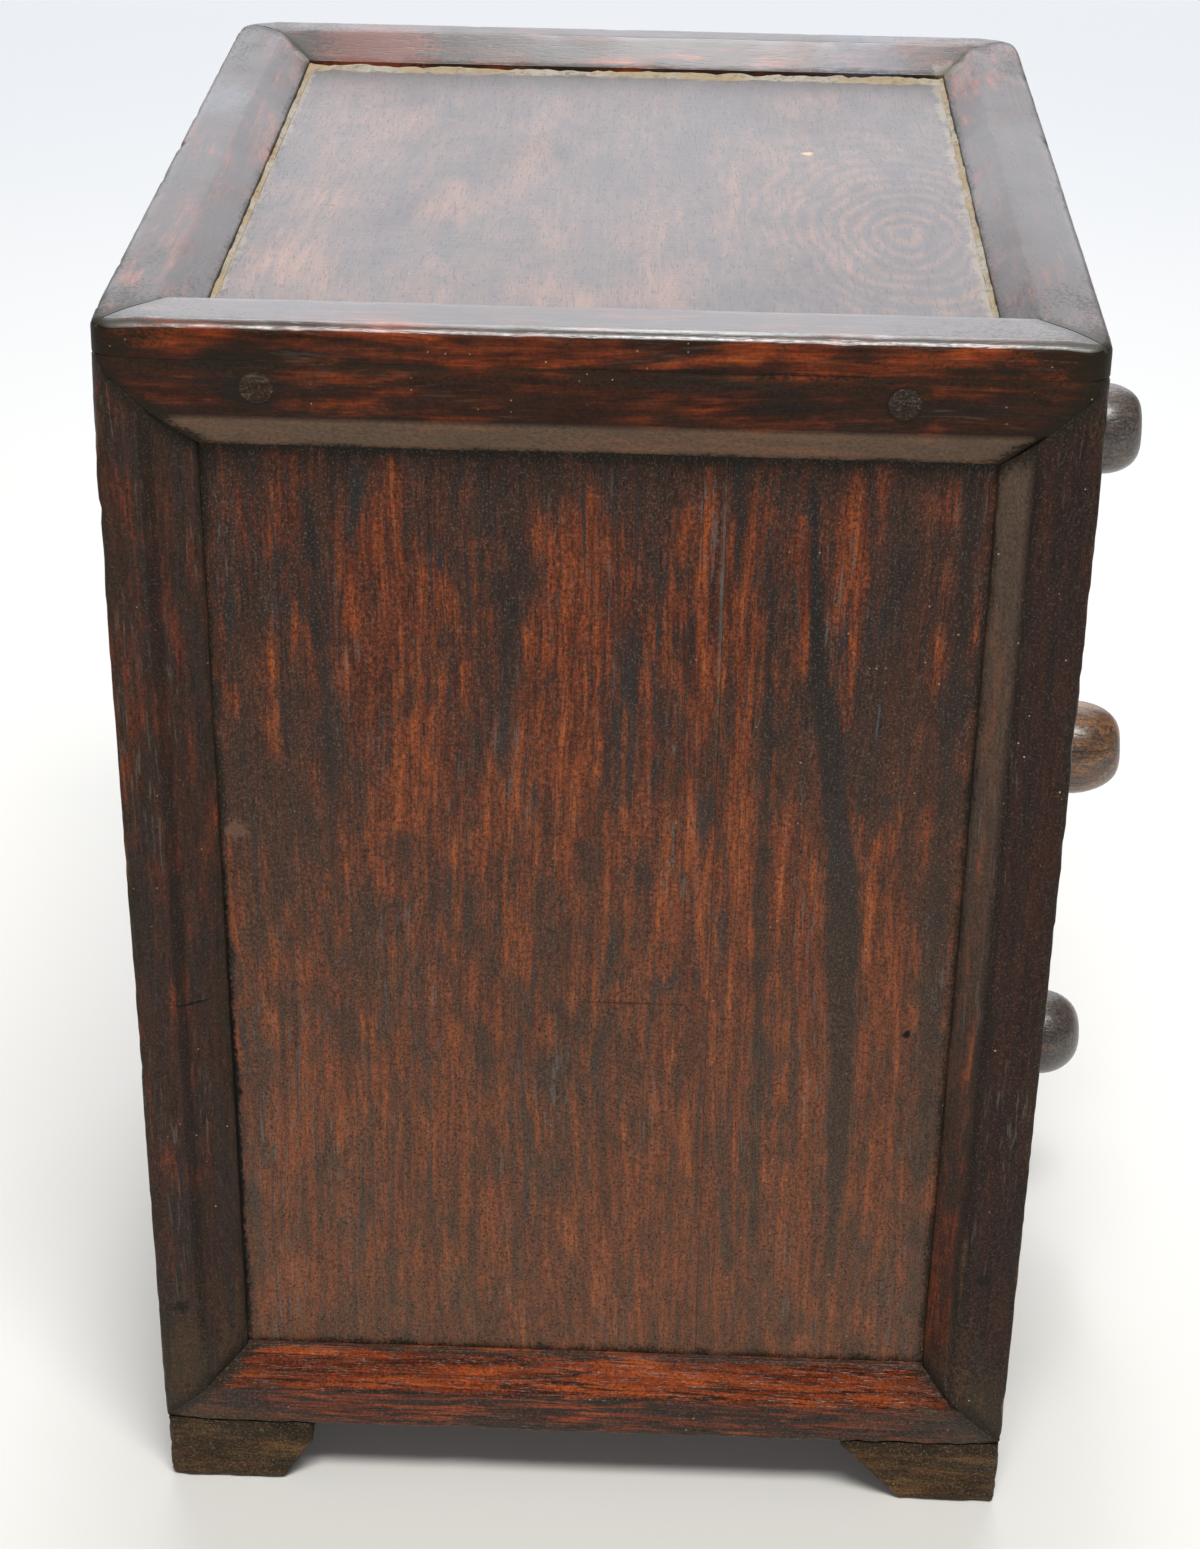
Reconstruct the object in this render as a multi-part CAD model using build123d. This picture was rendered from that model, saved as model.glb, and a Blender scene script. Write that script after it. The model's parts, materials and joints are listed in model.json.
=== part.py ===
from build123d import *
import os

# Wooden box with three drawers, in millimetres. +Z is up and the drawers open towards -Y.
# The origin is on the floor, under the middle of the whole box with its knobs.

# Outside of the case
case_width = 217.0
case_depth = 197.0
case_height = 292.0
foot_height = 17.6

# Mitred frames of the sides, the back and the top: a flat outer band, then a bevel down to the panel
member_width = 19.6
side_bevel_drop = 5.2
front_stile_flat = 13.0
back_stile_flat = 10.2
side_top_flat = 11.2
side_bottom_flat = 10.4
back_frame_flat = 11.0
top_bevel_drop = 4.8
top_front_flat = 13.0
top_back_flat = 12.0
top_left_flat = 14.0
top_right_flat = 9.0
top_lip = 2.8

# Panels that float in grooves of the side and back frames
groove_lip = 0.9
groove_depth = 5.0
groove_back_wall = 3.1
panel_thickness = 5.4
panel_play = 0.4
panel_edge_gap = 0.8
side_seam_from_front = 72.7
back_seam_from_left = 104.0

# Tenons that cross the mitres of the side and back frames
tenon_near = 5.0
tenon_inset = 4.0
tenon_shoulder = 0.6

# Boards that stiffen the case and carry the drawers
bottom_thickness = 7.4
divider_thickness = 8.0
front_rail_height = 15.4
front_rail_depth = 14.0
housing_gap = 0.4

# Panel under the top frame: two boards with a raised field that fills the frame
top_panel_thickness = 11.0
top_field_rise = 1.6
top_field_gap = 0.8
top_panel_gap = 0.3
top_seam_from_front = 76.8

# Pegs through the sides into the top panel
peg_diameter = 6.5
peg_bite = 14.0
front_peg_inset = 39.4
back_peg_inset = 32.5

# Feet: blocks with their inner faces cut back towards the floor
foot_width = 36.0
foot_toe_width = 24.0
front_foot_length = 37.5
front_foot_toe_length = 22.5
front_foot_shoulder = 1.5
back_foot_length = 34.0
back_foot_toe_length = 27.0
back_foot_shoulder = 6.0

# Drawers
drawer_names = ["lower", "middle", "upper"]
drawer_side_gap = 0.7
drawer_under_gap = 0.3
drawer_over_gap = 1.0
drawer_rear_gap = 1.0
drawer_front_thickness = 12.0
drawer_front_lap = 5.0
drawer_side_thickness = 7.0
drawer_side_set_down = 2.0
drawer_back_thickness = 7.0
drawer_bottom_thickness = 4.0
drawer_bottom_height = 5.0
drawer_bottom_bite = 3.5

# Turned knobs, each a little different
knob_tenon_diameter = 8.0
knob_base_diameter = 13.0
knob_waist_diameter = 11.0
knob_neck_length = 6.0
knob_widest_at = 15.0
knob_diameters = {"lower": 21.8, "middle": 23.0, "upper": 21.0}
knob_reaches = {"lower": 25.2, "middle": 27.1, "upper": 23.7}
knob_end_diameters = {"lower": 5.0, "middle": 9.0, "upper": 10.0}

# Nails
nail_diameter = 1.8
nail_head_diameter = 3.4
nail_head_thickness = 0.8
drawer_nail_length = 18.0
drawer_nails_per_corner = 3
drawer_nail_margin = 10.0
bottom_nail_length = 16.0
bottom_nail_margin = 30.0
bottom_nails = 3
foot_nail_length = 22.0
foot_nail_inset = 7.0
foot_nail_spacing = 15.0

# Worked out from the sizes above
groove_front = side_bevel_drop + groove_lip
groove_back = groove_front + panel_play + panel_thickness
side_thickness = groove_back + groove_back_wall
back_thickness = side_thickness
top_frame_thickness = top_bevel_drop + top_lip
tenon_far = member_width - groove_depth - tenon_shoulder
half_width = case_width / 2
half_depth = case_depth / 2
frame_top = case_height - top_frame_thickness
side_height = frame_top - foot_height
inner_width = case_width - 2 * side_thickness
inner_back = half_depth - back_thickness
housed_width = inner_width + 2 * (groove_back_wall - housing_gap)
drawer_floor = foot_height + bottom_thickness
drawer_ceiling = frame_top - front_rail_height
divider_count = len(drawer_names) - 1
opening_height = (drawer_ceiling - drawer_floor - divider_count * divider_thickness) / len(drawer_names)
drawer_pitch = opening_height + divider_thickness
case_shift = max(knob_reaches.values()) / 2

nodes = {}


def block(low, high):
    # Box between two opposite corners
    sizes = [b - a for a, b in zip(low, high)]
    middle = [(a + b) / 2 for a, b in zip(low, high)]
    return Pos(*middle) * Box(*sizes)


def outline(points, plane=Plane.XY):
    return make_face(plane * Polyline(*points, close=True))


# Frame members lie along X, with the outer edge on Y = 0 and the show face on Z = 0
def mitred_member(length, flat, drop, thickness, grooved):
    section = [(0, 0), (flat, 0), (member_width, -drop)]
    if grooved:
        groove_floor = member_width - groove_depth
        section += [(member_width, -groove_front), (groove_floor, -groove_front)]
        section += [(groove_floor, -groove_back), (member_width, -groove_back)]
    section += [(member_width, -thickness), (0, -thickness)]
    plan = [(0, 0), (length, 0), (length - member_width, member_width), (member_width, member_width)]
    stick = extrude(outline(section, Plane.YZ), length, dir=(1, 0, 0))
    return stick & extrude(outline(plan), thickness, dir=(0, 0, -1))


# A box in the mitred corner at each end of a member, at one distance from the end and one from the outer edge
def corner_boxes(length, from_end, from_edge):
    first = block((from_end, from_edge, -groove_back), (tenon_far, tenon_far, -groove_front))
    last = block((length - tenon_far, from_edge, -groove_back), (length - from_end, tenon_far, -groove_front))
    return first, last


# Four members round a rectangle, in the order bottom, right, top, left as seen from the show side
def mitred_frame(face, width, height, flats, drop, thickness, grooved):
    corners = [Pos(0, 0), Pos(width, 0), Pos(width, height), Pos(0, height)]
    members = []
    for number, corner in enumerate(corners):
        is_rail = number % 2 == 0
        length = width if is_rail else height
        member = mitred_member(length, flats[number], drop, thickness, grooved)
        if grooved and is_rail:
            for tenon in corner_boxes(length, tenon_inset, tenon_near):
                member += tenon
        elif grooved:
            for mortise in corner_boxes(length, tenon_near, tenon_inset):
                member -= mortise
        members.append(face * corner * Rot(0, 0, 90 * number) * member)
    return members


def panel_boards(face, width, height, seam):
    edge = member_width - groove_depth + panel_edge_gap
    low = -groove_back
    high = low + panel_thickness
    first = block((edge, edge, low), (seam, height - edge, high))
    second = block((seam, edge, low), (width - edge, height - edge, high))
    return face * first, face * second


def nail(head, direction, length):
    shank = Cylinder(nail_diameter / 2, length, align=(Align.CENTER, Align.CENTER, Align.MIN))
    cap = Cylinder(nail_head_diameter / 2, nail_head_thickness, align=(Align.CENTER, Align.CENTER, Align.MIN))
    return Plane(head, z_dir=direction) * (shank + cap)


def without(piece, cutters):
    for cutter in cutters:
        piece -= cutter
    return piece


def evenly(low, high, count):
    return [low + (high - low) * step / (count - 1) for step in range(count)]


# Boards across the case: bottom, dividers and the rail over the drawers
def housed_board(low, thickness):
    return block(
        (-housed_width / 2, -half_depth, low),
        (housed_width / 2, inner_back, low + thickness),
    )


case_boards = {"bottom_board": housed_board(foot_height, bottom_thickness)}
for number in range(divider_count):
    name = drawer_names[number] + "_divider"
    case_boards[name] = housed_board(drawer_floor + opening_height + number * drawer_pitch, divider_thickness)
case_boards["front_top_rail"] = block(
    (-housed_width / 2, -half_depth, drawer_ceiling),
    (housed_width / 2, -half_depth + front_rail_depth, frame_top),
)

# Pegs, two through each side
peg_height = frame_top - top_panel_thickness / 2
peg_length = side_thickness + peg_bite
pegs = []
for side in (-1, 1):
    for along in (-half_depth + front_peg_inset, half_depth - back_peg_inset):
        lying = Rot(0, 90, 0) * Cylinder(peg_diameter / 2, peg_length)
        pegs.append(Pos(side * (half_width - peg_length / 2), along, peg_height) * lying)
nodes["top_pegs"] = Compound([peg.solid() for peg in pegs])

# Feet and their nails
front_foot_sizes = (front_foot_length, front_foot_toe_length, front_foot_shoulder)
back_foot_sizes = (back_foot_length, back_foot_toe_length, back_foot_shoulder)


def foot_profile(length, toe, shoulder):
    slope_top = foot_height - shoulder
    return [(0, 0), (toe, 0), (length, slope_top), (length, foot_height), (0, foot_height)]


# A foot stands in the corner of +X and +Y, with its outer faces on X = 0 and Y = 0
def foot_block(length, toe, shoulder):
    along = outline(foot_profile(length, toe, shoulder), Plane.YZ)
    across = outline(foot_profile(foot_width, foot_toe_width, shoulder), Plane.XZ)
    return extrude(along, foot_width, dir=(1, 0, 0)) & extrude(across, length, dir=(0, 1, 0))


foot_nails = []
for end, sizes in (("front", front_foot_sizes), ("back", back_foot_sizes)):
    for side in ("left", "right"):
        foot = foot_block(*sizes)
        spots = [foot_nail_inset, foot_nail_inset + foot_nail_spacing]
        nails = [nail((spot, foot_nail_inset, 0), (0, 0, 1), foot_nail_length) for spot in spots]
        if end == "back":
            foot = mirror(foot, about=Plane.XZ)
            nails = [mirror(one, about=Plane.XZ) for one in nails]
        if side == "right":
            foot = mirror(foot, about=Plane.YZ)
            nails = [mirror(one, about=Plane.YZ) for one in nails]
        corner = Pos(
            -half_width if side == "left" else half_width,
            -half_depth if end == "front" else half_depth,
            0,
        )
        nails = [corner * one for one in nails]
        nodes[f"{end}_{side}_foot"] = without(corner * foot, nails)
        foot_nails += nails
nodes["foot_nails"] = Compound([one.solid() for one in foot_nails])

# Sides: mitred frames, grooved for two panel boards each, housed for the boards across the case
left_face = Plane((-half_width, half_depth, foot_height), x_dir=(0, -1, 0), z_dir=(-1, 0, 0))
right_face = Plane((half_width, -half_depth, foot_height), x_dir=(0, 1, 0), z_dir=(1, 0, 0))
left_order = ["bottom_rail", "front_stile", "top_rail", "back_stile"]
right_order = ["bottom_rail", "back_stile", "top_rail", "front_stile"]
side_flats = {
    "bottom_rail": side_bottom_flat,
    "front_stile": front_stile_flat,
    "top_rail": side_top_flat,
    "back_stile": back_stile_flat,
}
side_cutters = list(case_boards.values()) + pegs + foot_nails
for side, face, order in (("left", left_face, left_order), ("right", right_face, right_order)):
    flats = [side_flats[name] for name in order]
    members = mitred_frame(face, case_depth, side_height, flats, side_bevel_drop, side_thickness, True)
    for name, member in zip(order, members):
        nodes[f"{side}_{name}"] = without(member, side_cutters)
    seam = side_seam_from_front if side == "right" else case_depth - side_seam_from_front
    boards = panel_boards(face, case_depth, side_height, seam)
    board_names = ["front", "back"] if side == "right" else ["back", "front"]
    for name, board in zip(board_names, boards):
        nodes[f"{side}_panel_{name}_board"] = board

# Back: the same frame between the two sides, around two panel boards
back_face = Plane((inner_width / 2, half_depth, foot_height), x_dir=(-1, 0, 0), z_dir=(0, 1, 0))
back_order = ["bottom_rail", "left_stile", "top_rail", "right_stile"]
back_flats = [back_frame_flat] * len(back_order)
members = mitred_frame(back_face, inner_width, side_height, back_flats, side_bevel_drop, back_thickness, True)
for name, member in zip(back_order, members):
    nodes[f"back_{name}"] = without(member, foot_nails)
back_seam = case_width - side_thickness - back_seam_from_left
boards = panel_boards(back_face, inner_width, side_height, back_seam)
for name, board in zip(["right", "left"], boards):
    nodes[f"back_panel_{name}_board"] = board

# Top: a thin mitred frame that lies on the sides, over a panel whose field rises into it
top_face = Plane((-half_width, -half_depth, case_height), x_dir=(1, 0, 0), z_dir=(0, 0, 1))
top_order = ["front", "right", "back", "left"]
top_flats = [top_front_flat, top_right_flat, top_back_flat, top_left_flat]
members = mitred_frame(top_face, case_width, case_depth, top_flats, top_bevel_drop, top_frame_thickness, False)
for name, member in zip(top_order, members):
    nodes[f"top_{name}_rail"] = member

top_seam = -half_depth + top_seam_from_front
panel_side = inner_width / 2 - top_panel_gap
panel_front = -half_depth + front_rail_depth
field_side = half_width - member_width - top_field_gap
field_end = half_depth - member_width - top_field_gap


def top_board(start, end, field_start, field_finish):
    base = block((-panel_side, start, frame_top - top_panel_thickness), (panel_side, end, frame_top))
    field = block((-field_side, field_start, frame_top), (field_side, field_finish, frame_top + top_field_rise))
    return without(base + field, pegs)


nodes["top_panel_front_board"] = top_board(panel_front, top_seam, -field_end, top_seam)
nodes["top_panel_back_board"] = top_board(top_seam, inner_back, top_seam, field_end)

for name, board in case_boards.items():
    nodes[name] = without(board, foot_nails)

# Drawers
drawer_half = inner_width / 2 - drawer_side_gap
drawer_height = opening_height - drawer_under_gap - drawer_over_gap
drawer_front_inner = -half_depth + drawer_front_thickness
drawer_rear = inner_back - drawer_rear_gap
side_inner = drawer_half - drawer_side_thickness
side_start = -half_depth + drawer_front_lap


def knob(name):
    widest = knob_diameters[name] / 2
    reach = knob_reaches[name]
    end = knob_end_diameters[name] / 2
    base = knob_base_diameter / 2
    waist = knob_waist_diameter / 2
    tenon = knob_tenon_diameter / 2
    shank = Polyline(
        (0, -reach), (0, drawer_front_thickness), (tenon, drawer_front_thickness), (tenon, 0), (base, 0)
    )
    neck = ThreePointArc((base, 0), (waist, -knob_neck_length / 2), (base, -knob_neck_length))
    under = EllipticalCenterArc((base, -knob_widest_at), widest - base, knob_widest_at - knob_neck_length)
    dome = EllipticalCenterArc((end, -knob_widest_at), widest - end, reach - knob_widest_at, 270)
    tip = Line((end, -reach), (0, -reach))
    return revolve(make_face(shank + neck + under + dome + tip), Axis.Y)


def make_drawer(name, floor):
    top = floor + drawer_height
    side_top = top - drawer_side_set_down
    bottom_low = floor + drawer_bottom_height
    bottom_high = bottom_low + drawer_bottom_thickness

    bottom = block(
        (-side_inner - drawer_bottom_bite, drawer_front_inner - drawer_bottom_bite, bottom_low),
        (side_inner + drawer_bottom_bite, drawer_rear, bottom_high),
    )
    back = block(
        (-side_inner, drawer_rear - drawer_back_thickness, bottom_high),
        (side_inner, drawer_rear, side_top),
    )
    sides = {
        "left": block((-drawer_half, side_start, floor), (-side_inner, drawer_rear, side_top)),
        "right": block((side_inner, side_start, floor), (drawer_half, drawer_rear, side_top)),
    }
    front = block((-drawer_half, -half_depth, floor), (drawer_half, drawer_front_inner, top))
    rebates = [
        block((-drawer_half, side_start, floor), (-side_inner, drawer_front_inner, top)),
        block((side_inner, side_start, floor), (drawer_half, drawer_front_inner, top)),
    ]

    nails = []
    nail_rows = [(side_start + drawer_front_inner) / 2, drawer_rear - drawer_back_thickness / 2]
    nail_heights = evenly(bottom_high + drawer_nail_margin, side_top - drawer_nail_margin, drawer_nails_per_corner)
    for along in nail_rows:
        for height in nail_heights:
            nails.append(nail((-drawer_half, along, height), (1, 0, 0), drawer_nail_length))
            nails.append(nail((drawer_half, along, height), (-1, 0, 0), drawer_nail_length))
    for across in evenly(-side_inner + bottom_nail_margin, side_inner - bottom_nail_margin, bottom_nails):
        nails.append(nail((across, nail_rows[1], bottom_low), (0, 0, 1), bottom_nail_length))

    handle = Pos(0, -half_depth, (floor + top) / 2) * knob(name)
    nodes[f"{name}_drawer_front"] = without(front, rebates + [bottom, handle] + nails)
    for side, board in sides.items():
        nodes[f"{name}_drawer_{side}_side"] = without(board, [bottom] + nails)
    nodes[f"{name}_drawer_back"] = without(back, nails)
    nodes[f"{name}_drawer_bottom"] = without(bottom, nails)
    nodes[f"{name}_drawer_knob"] = handle
    nodes[f"{name}_drawer_nails"] = Compound([one.solid() for one in nails])


for number, name in enumerate(drawer_names):
    make_drawer(name, drawer_floor + number * drawer_pitch + drawer_under_gap)

# One file for each node, with the origin under the middle of the case and its knobs
os.makedirs("parts", exist_ok=True)
for name, shape in nodes.items():
    export_step(Pos(0, case_shift, 0) * shape, f"parts/{name}.step")
print(len(nodes), "nodes written, drawer opening", round(opening_height, 2), "mm")
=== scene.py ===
import json
import math

import bmesh
import bpy
from mathutils import Matrix, Vector


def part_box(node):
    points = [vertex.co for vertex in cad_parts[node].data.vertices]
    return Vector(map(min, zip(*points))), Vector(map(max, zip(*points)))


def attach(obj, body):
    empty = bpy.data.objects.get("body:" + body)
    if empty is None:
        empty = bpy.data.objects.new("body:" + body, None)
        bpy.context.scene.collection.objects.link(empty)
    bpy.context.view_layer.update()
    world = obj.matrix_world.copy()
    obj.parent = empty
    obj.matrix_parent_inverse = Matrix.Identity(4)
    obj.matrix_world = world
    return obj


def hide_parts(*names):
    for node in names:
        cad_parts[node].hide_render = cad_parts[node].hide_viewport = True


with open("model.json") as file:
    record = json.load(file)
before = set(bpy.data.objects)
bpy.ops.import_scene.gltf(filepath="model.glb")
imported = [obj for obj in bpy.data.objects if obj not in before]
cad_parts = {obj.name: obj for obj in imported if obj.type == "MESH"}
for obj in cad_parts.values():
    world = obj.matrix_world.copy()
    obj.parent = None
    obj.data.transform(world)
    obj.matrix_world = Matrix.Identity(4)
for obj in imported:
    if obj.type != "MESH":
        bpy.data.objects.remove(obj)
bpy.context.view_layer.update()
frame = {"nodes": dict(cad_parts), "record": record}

mm = 0.001  # all lengths below are metres
tiny = 0.02 * mm
bodyOf = {node: body for body, nodes in frame["record"]["behaviour"]["bodies"].items() for node in nodes}
print("frame loaded:", len(frame["nodes"]), "nodes")


# Small tools for modelling

def deselectAll():
    bpy.ops.object.select_all(action="DESELECT")


def makeActive(piece):
    deselectAll()
    piece.select_set(True)
    bpy.context.view_layer.objects.active = piece


def editMode():
    bpy.ops.object.mode_set(mode="EDIT")


def objectMode():
    bpy.ops.object.mode_set(mode="OBJECT")


def selectAll():  # in edit mode
    bpy.ops.mesh.select_all(action="SELECT")


def selectNone():  # in edit mode
    bpy.ops.mesh.select_all(action="DESELECT")


def turnOutwards():  # in edit mode: all faces look out of the piece
    selectAll()
    bpy.ops.mesh.normals_make_consistent(inside=False)


def addBlock(name, low, high):
    deselectAll()
    low, high = Vector(low), Vector(high)
    bpy.ops.mesh.primitive_cube_add(size=1, location=(low + high) / 2, scale=high - low)
    piece = bpy.context.object
    piece.name = name
    bpy.ops.object.transform_apply(location=True, rotation=True, scale=True)
    return piece


def cutAway(point, normal):  # in edit mode: removes what lies on the normal's side
    selectAll()
    bpy.ops.mesh.bisect(plane_co=point, plane_no=Vector(normal).normalized(), use_fill=True, clear_outer=True)


def selectEdges(piece, wanted):  # in edit mode: wanted(a, b) gets the two ends
    bpy.ops.mesh.select_mode(type="EDGE")
    selectNone()
    mesh = bmesh.from_edit_mesh(piece.data)
    for edge in mesh.edges:
        edge.select_set(wanted(edge.verts[0].co, edge.verts[1].co))
    bmesh.update_edit_mesh(piece.data)


def divideEdges(piece, wanted, cuts):
    if cuts < 1:
        return
    editMode()
    selectEdges(piece, wanted)
    bpy.ops.mesh.subdivide(number_cuts=cuts)
    objectMode()


def divideAlong(piece, axis, span, step, least=0.5):  # least: the share of the span that an edge covers
    divideEdges(piece, lambda a, b: abs(a[axis] - b[axis]) > least * span, int(span / step))


def applyModifier(piece, modifier):
    makeActive(piece)
    bpy.ops.object.modifier_apply(modifier=modifier.name)


def roundEdges(piece, widthOf, segments=3):  # each edge gets its own width
    mesh = piece.data
    ends = [[mesh.vertices[end].co for end in edge.vertices] for edge in mesh.edges]
    widths = [widthOf(a, b) for a, b in ends]
    weights = mesh.attributes.new("bevel_weight_edge", "FLOAT", "EDGE")
    for number, width in enumerate(widths):
        weights.data[number].value = width / max(widths)
    bevel = piece.modifiers.new("rounded edges", "BEVEL")
    bevel.limit_method = "WEIGHT"
    bevel.width = max(widths)
    bevel.segments = segments
    applyModifier(piece, bevel)


def groupByDistance(piece, name, distanceOf, reach):  # weight 1 on the line, 0 at its reach
    group = piece.vertex_groups.new(name=name)
    for vertex in piece.data.vertices:
        weight = 1 - distanceOf(vertex.co) / reach
        if weight > 0:
            group.add([vertex.index], weight, "REPLACE")


cloudTextures = {}


def clouds(size, contrast, level):
    key = (size, contrast, level)
    if key not in cloudTextures:
        texture = bpy.data.textures.new("wear clouds", "CLOUDS")
        texture.noise_scale = size
        texture.noise_depth = 3
        texture.contrast = contrast
        texture.intensity = level
        texture.use_clamp = True
        cloudTextures[key] = texture
    return cloudTextures[key]


def wearDown(piece, wear, direction, group="", share=1.0):  # wear: depth and size in mm, contrast, level
    depth, size, contrast, level = wear
    for axis, part in zip("XYZ", direction):
        if abs(part) > 0.01:
            worn = piece.modifiers.new("wear", "DISPLACE")
            worn.texture = clouds(size * mm, contrast, level)
            worn.texture_coords = "LOCAL"
            worn.direction = axis
            worn.vertex_group = group
            worn.mid_level = 0
            worn.strength = depth * share * mm * part
            applyModifier(piece, worn)


def smoothShade(piece, degrees=38):
    makeActive(piece)
    bpy.ops.object.shade_smooth_by_angle(angle=math.radians(degrees))


def paint(piece, name, valueOf):  # a float for each vertex, read by the materials
    layer = piece.data.attributes.new(name, "FLOAT", "POINT")
    layer.data.foreach_set("value", [valueOf(vertex.co) for vertex in piece.data.vertices])


def settle(piece, node, material):  # the piece takes the node's place
    piece.data.materials.clear()
    piece.data.materials.append(material)
    piece.vertex_groups.clear()
    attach(piece, bodyOf[node])
    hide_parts(node)


def fade(distance, reach):
    return max(0.0, 1 - max(distance, 0.0) / reach)


def fadeFrom(spread, distance):  # spread: the amount at the start and how far it reaches
    return spread[0] * fade(distance, spread[1])


# Small tools for materials

def setInputs(tree, node, inputs):  # each input takes a value or a link
    for socket, value in inputs.items():
        if isinstance(value, bpy.types.NodeSocket):
            tree.links.new(value, node.inputs[socket])
        else:
            node.inputs[socket].default_value = value


def addNode(tree, kind, inputs=None, **settings):
    node = tree.nodes.new("ShaderNode" + kind)
    for name, value in settings.items():
        setattr(node, name, value)
    setInputs(tree, node, inputs or {})
    return node


def vectorOf(tree, operation, first, second=(0, 0, 0), third=(0, 0, 0)):
    node = addNode(tree, "VectorMath", {0: first, 1: second, 2: third}, operation=operation)
    return node.outputs["Value" if operation == "LENGTH" else 0]


def stretched(tree, vector, along, across):
    return vectorOf(tree, "MULTIPLY", vector, (along, across, across))


def noiseOf(tree, vector, along, across, detail=2.0, rough=0.5):
    place = stretched(tree, vector, along, across)
    inputs = {"Vector": place, "Scale": 1, "Detail": detail, "Roughness": rough}
    return addNode(tree, "TexNoise", inputs).outputs[0]


def evenNoise(tree, vector, scale, detail, rough=0.5):  # features of one size in all directions
    return noiseOf(tree, vector, scale, scale, detail, rough)


def rangeOf(tree, value, low, high, toLow=0.0, toHigh=1.0):
    inputs = {"Value": value, "From Min": low, "From Max": high, "To Min": toLow, "To Max": toHigh}
    return addNode(tree, "MapRange", inputs, interpolation_type="SMOOTHSTEP").outputs[0]


def mathOf(tree, operation, first, second=0.0, third=0.0):
    return addNode(tree, "Math", {0: first, 1: second, 2: third}, operation=operation).outputs[0]


def weighed(tree, layers, weights, total):  # adds each layer times its weight
    for layer, weight in weights.items():
        total = mathOf(tree, "MULTIPLY_ADD", layers[layer], weight, total)
    return total


def mixColour(tree, factor, first, second, mode="MIX"):
    mix = addNode(tree, "Mix", {0: factor, 6: first, 7: second}, data_type="RGBA", blend_type=mode)
    return mix.outputs[2]


def rampOf(tree, value, stops):
    ramp = addNode(tree, "ValToRGB", {0: value})
    points = ramp.color_ramp.elements
    while len(points) < len(stops):
        points.new(0.5)
    for point, (position, colour) in zip(points, stops):
        point.position = position
        point.color = colour
    return ramp.outputs[0]


def attributeOf(tree, name):
    return addNode(tree, "Attribute", attribute_name=name).outputs["Fac"]


def bumpOf(tree, height, strength, distance):
    return addNode(tree, "Bump", {"Height": height, "Strength": strength, "Distance": distance}).outputs[0]


def newMaterial(name):  # with its tree, its shader and the place in the object
    material = bpy.data.materials.new(name)
    material.use_nodes = True
    tree = material.node_tree
    return material, tree, tree.nodes["Principled BSDF"], addNode(tree, "TexCoord").outputs["Object"]


def seen(red, green, blue):  # a colour as a picture shows it, 0 to 255, made linear
    def linear(part):
        part /= 255
        return part / 12.92 if part < 0.04045 else ((part + 0.055) / 1.055) ** 2.4
    return (linear(red), linear(green), linear(blue), 1)


def woodStops(*colours):  # from the darkest wood to the lightest
    levels = (0.20, 0.45, 0.65, 0.85) if len(colours) == 4 else (0.20, 0.50, 0.80)
    return [(level, seen(*colour)) for level, colour in zip(levels, colours)]


# Aged rosewood: orange-red wood under a smoky film. The figure is made once, along the grain (X)

figureScales = {  # features per metre along and across the grain
    "warp": (5, 14),
    "body": (40, 460),
    "cloud": (14, 45),
    "patch": (44, 215),
    "streak": (60, 860),
    "tint": (26, 180),
    "fibre": (130, 1500),
    "mottle": (1150, 1300),
    "ripple": (640, 110),
    "rag": (80, 170),
    "haze": (10, 16),
    "pores": (230, 1900),
    "flecks": (110, 1500),
    "fleckPatches": (22, 110),
    "veins": (16, 420),
    "lines": (9, 190),
    "lineBreaks": (30, 90),
    "salt": (1900, 2300),
}
figureDetails = {
    "body": 3, "cloud": 3, "patch": 5, "streak": 3, "tint": 4,
    "fibre": 2, "mottle": 2, "ripple": 1, "rag": 5, "haze": 4, "salt": 2,
}
figureMasks = {  # noise levels between which a layer comes in
    "pores": (0.56, 0.70),
    "flecks": (0.56, 0.68),
    "fleckPatches": (0.50, 0.64),
    "veins": (0.0, 0.035),
    "lines": (0.006, 0.028),
    "lineBreaks": (0.47, 0.6),
    "crowded": (0.38, 0.68, 0.98, 0.72),
}
figureWarp = (0.0, 14 * mm, 14 * mm)
speckCells = {"perMetre": 620, "size": 0.15, "crowds": 40}


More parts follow.
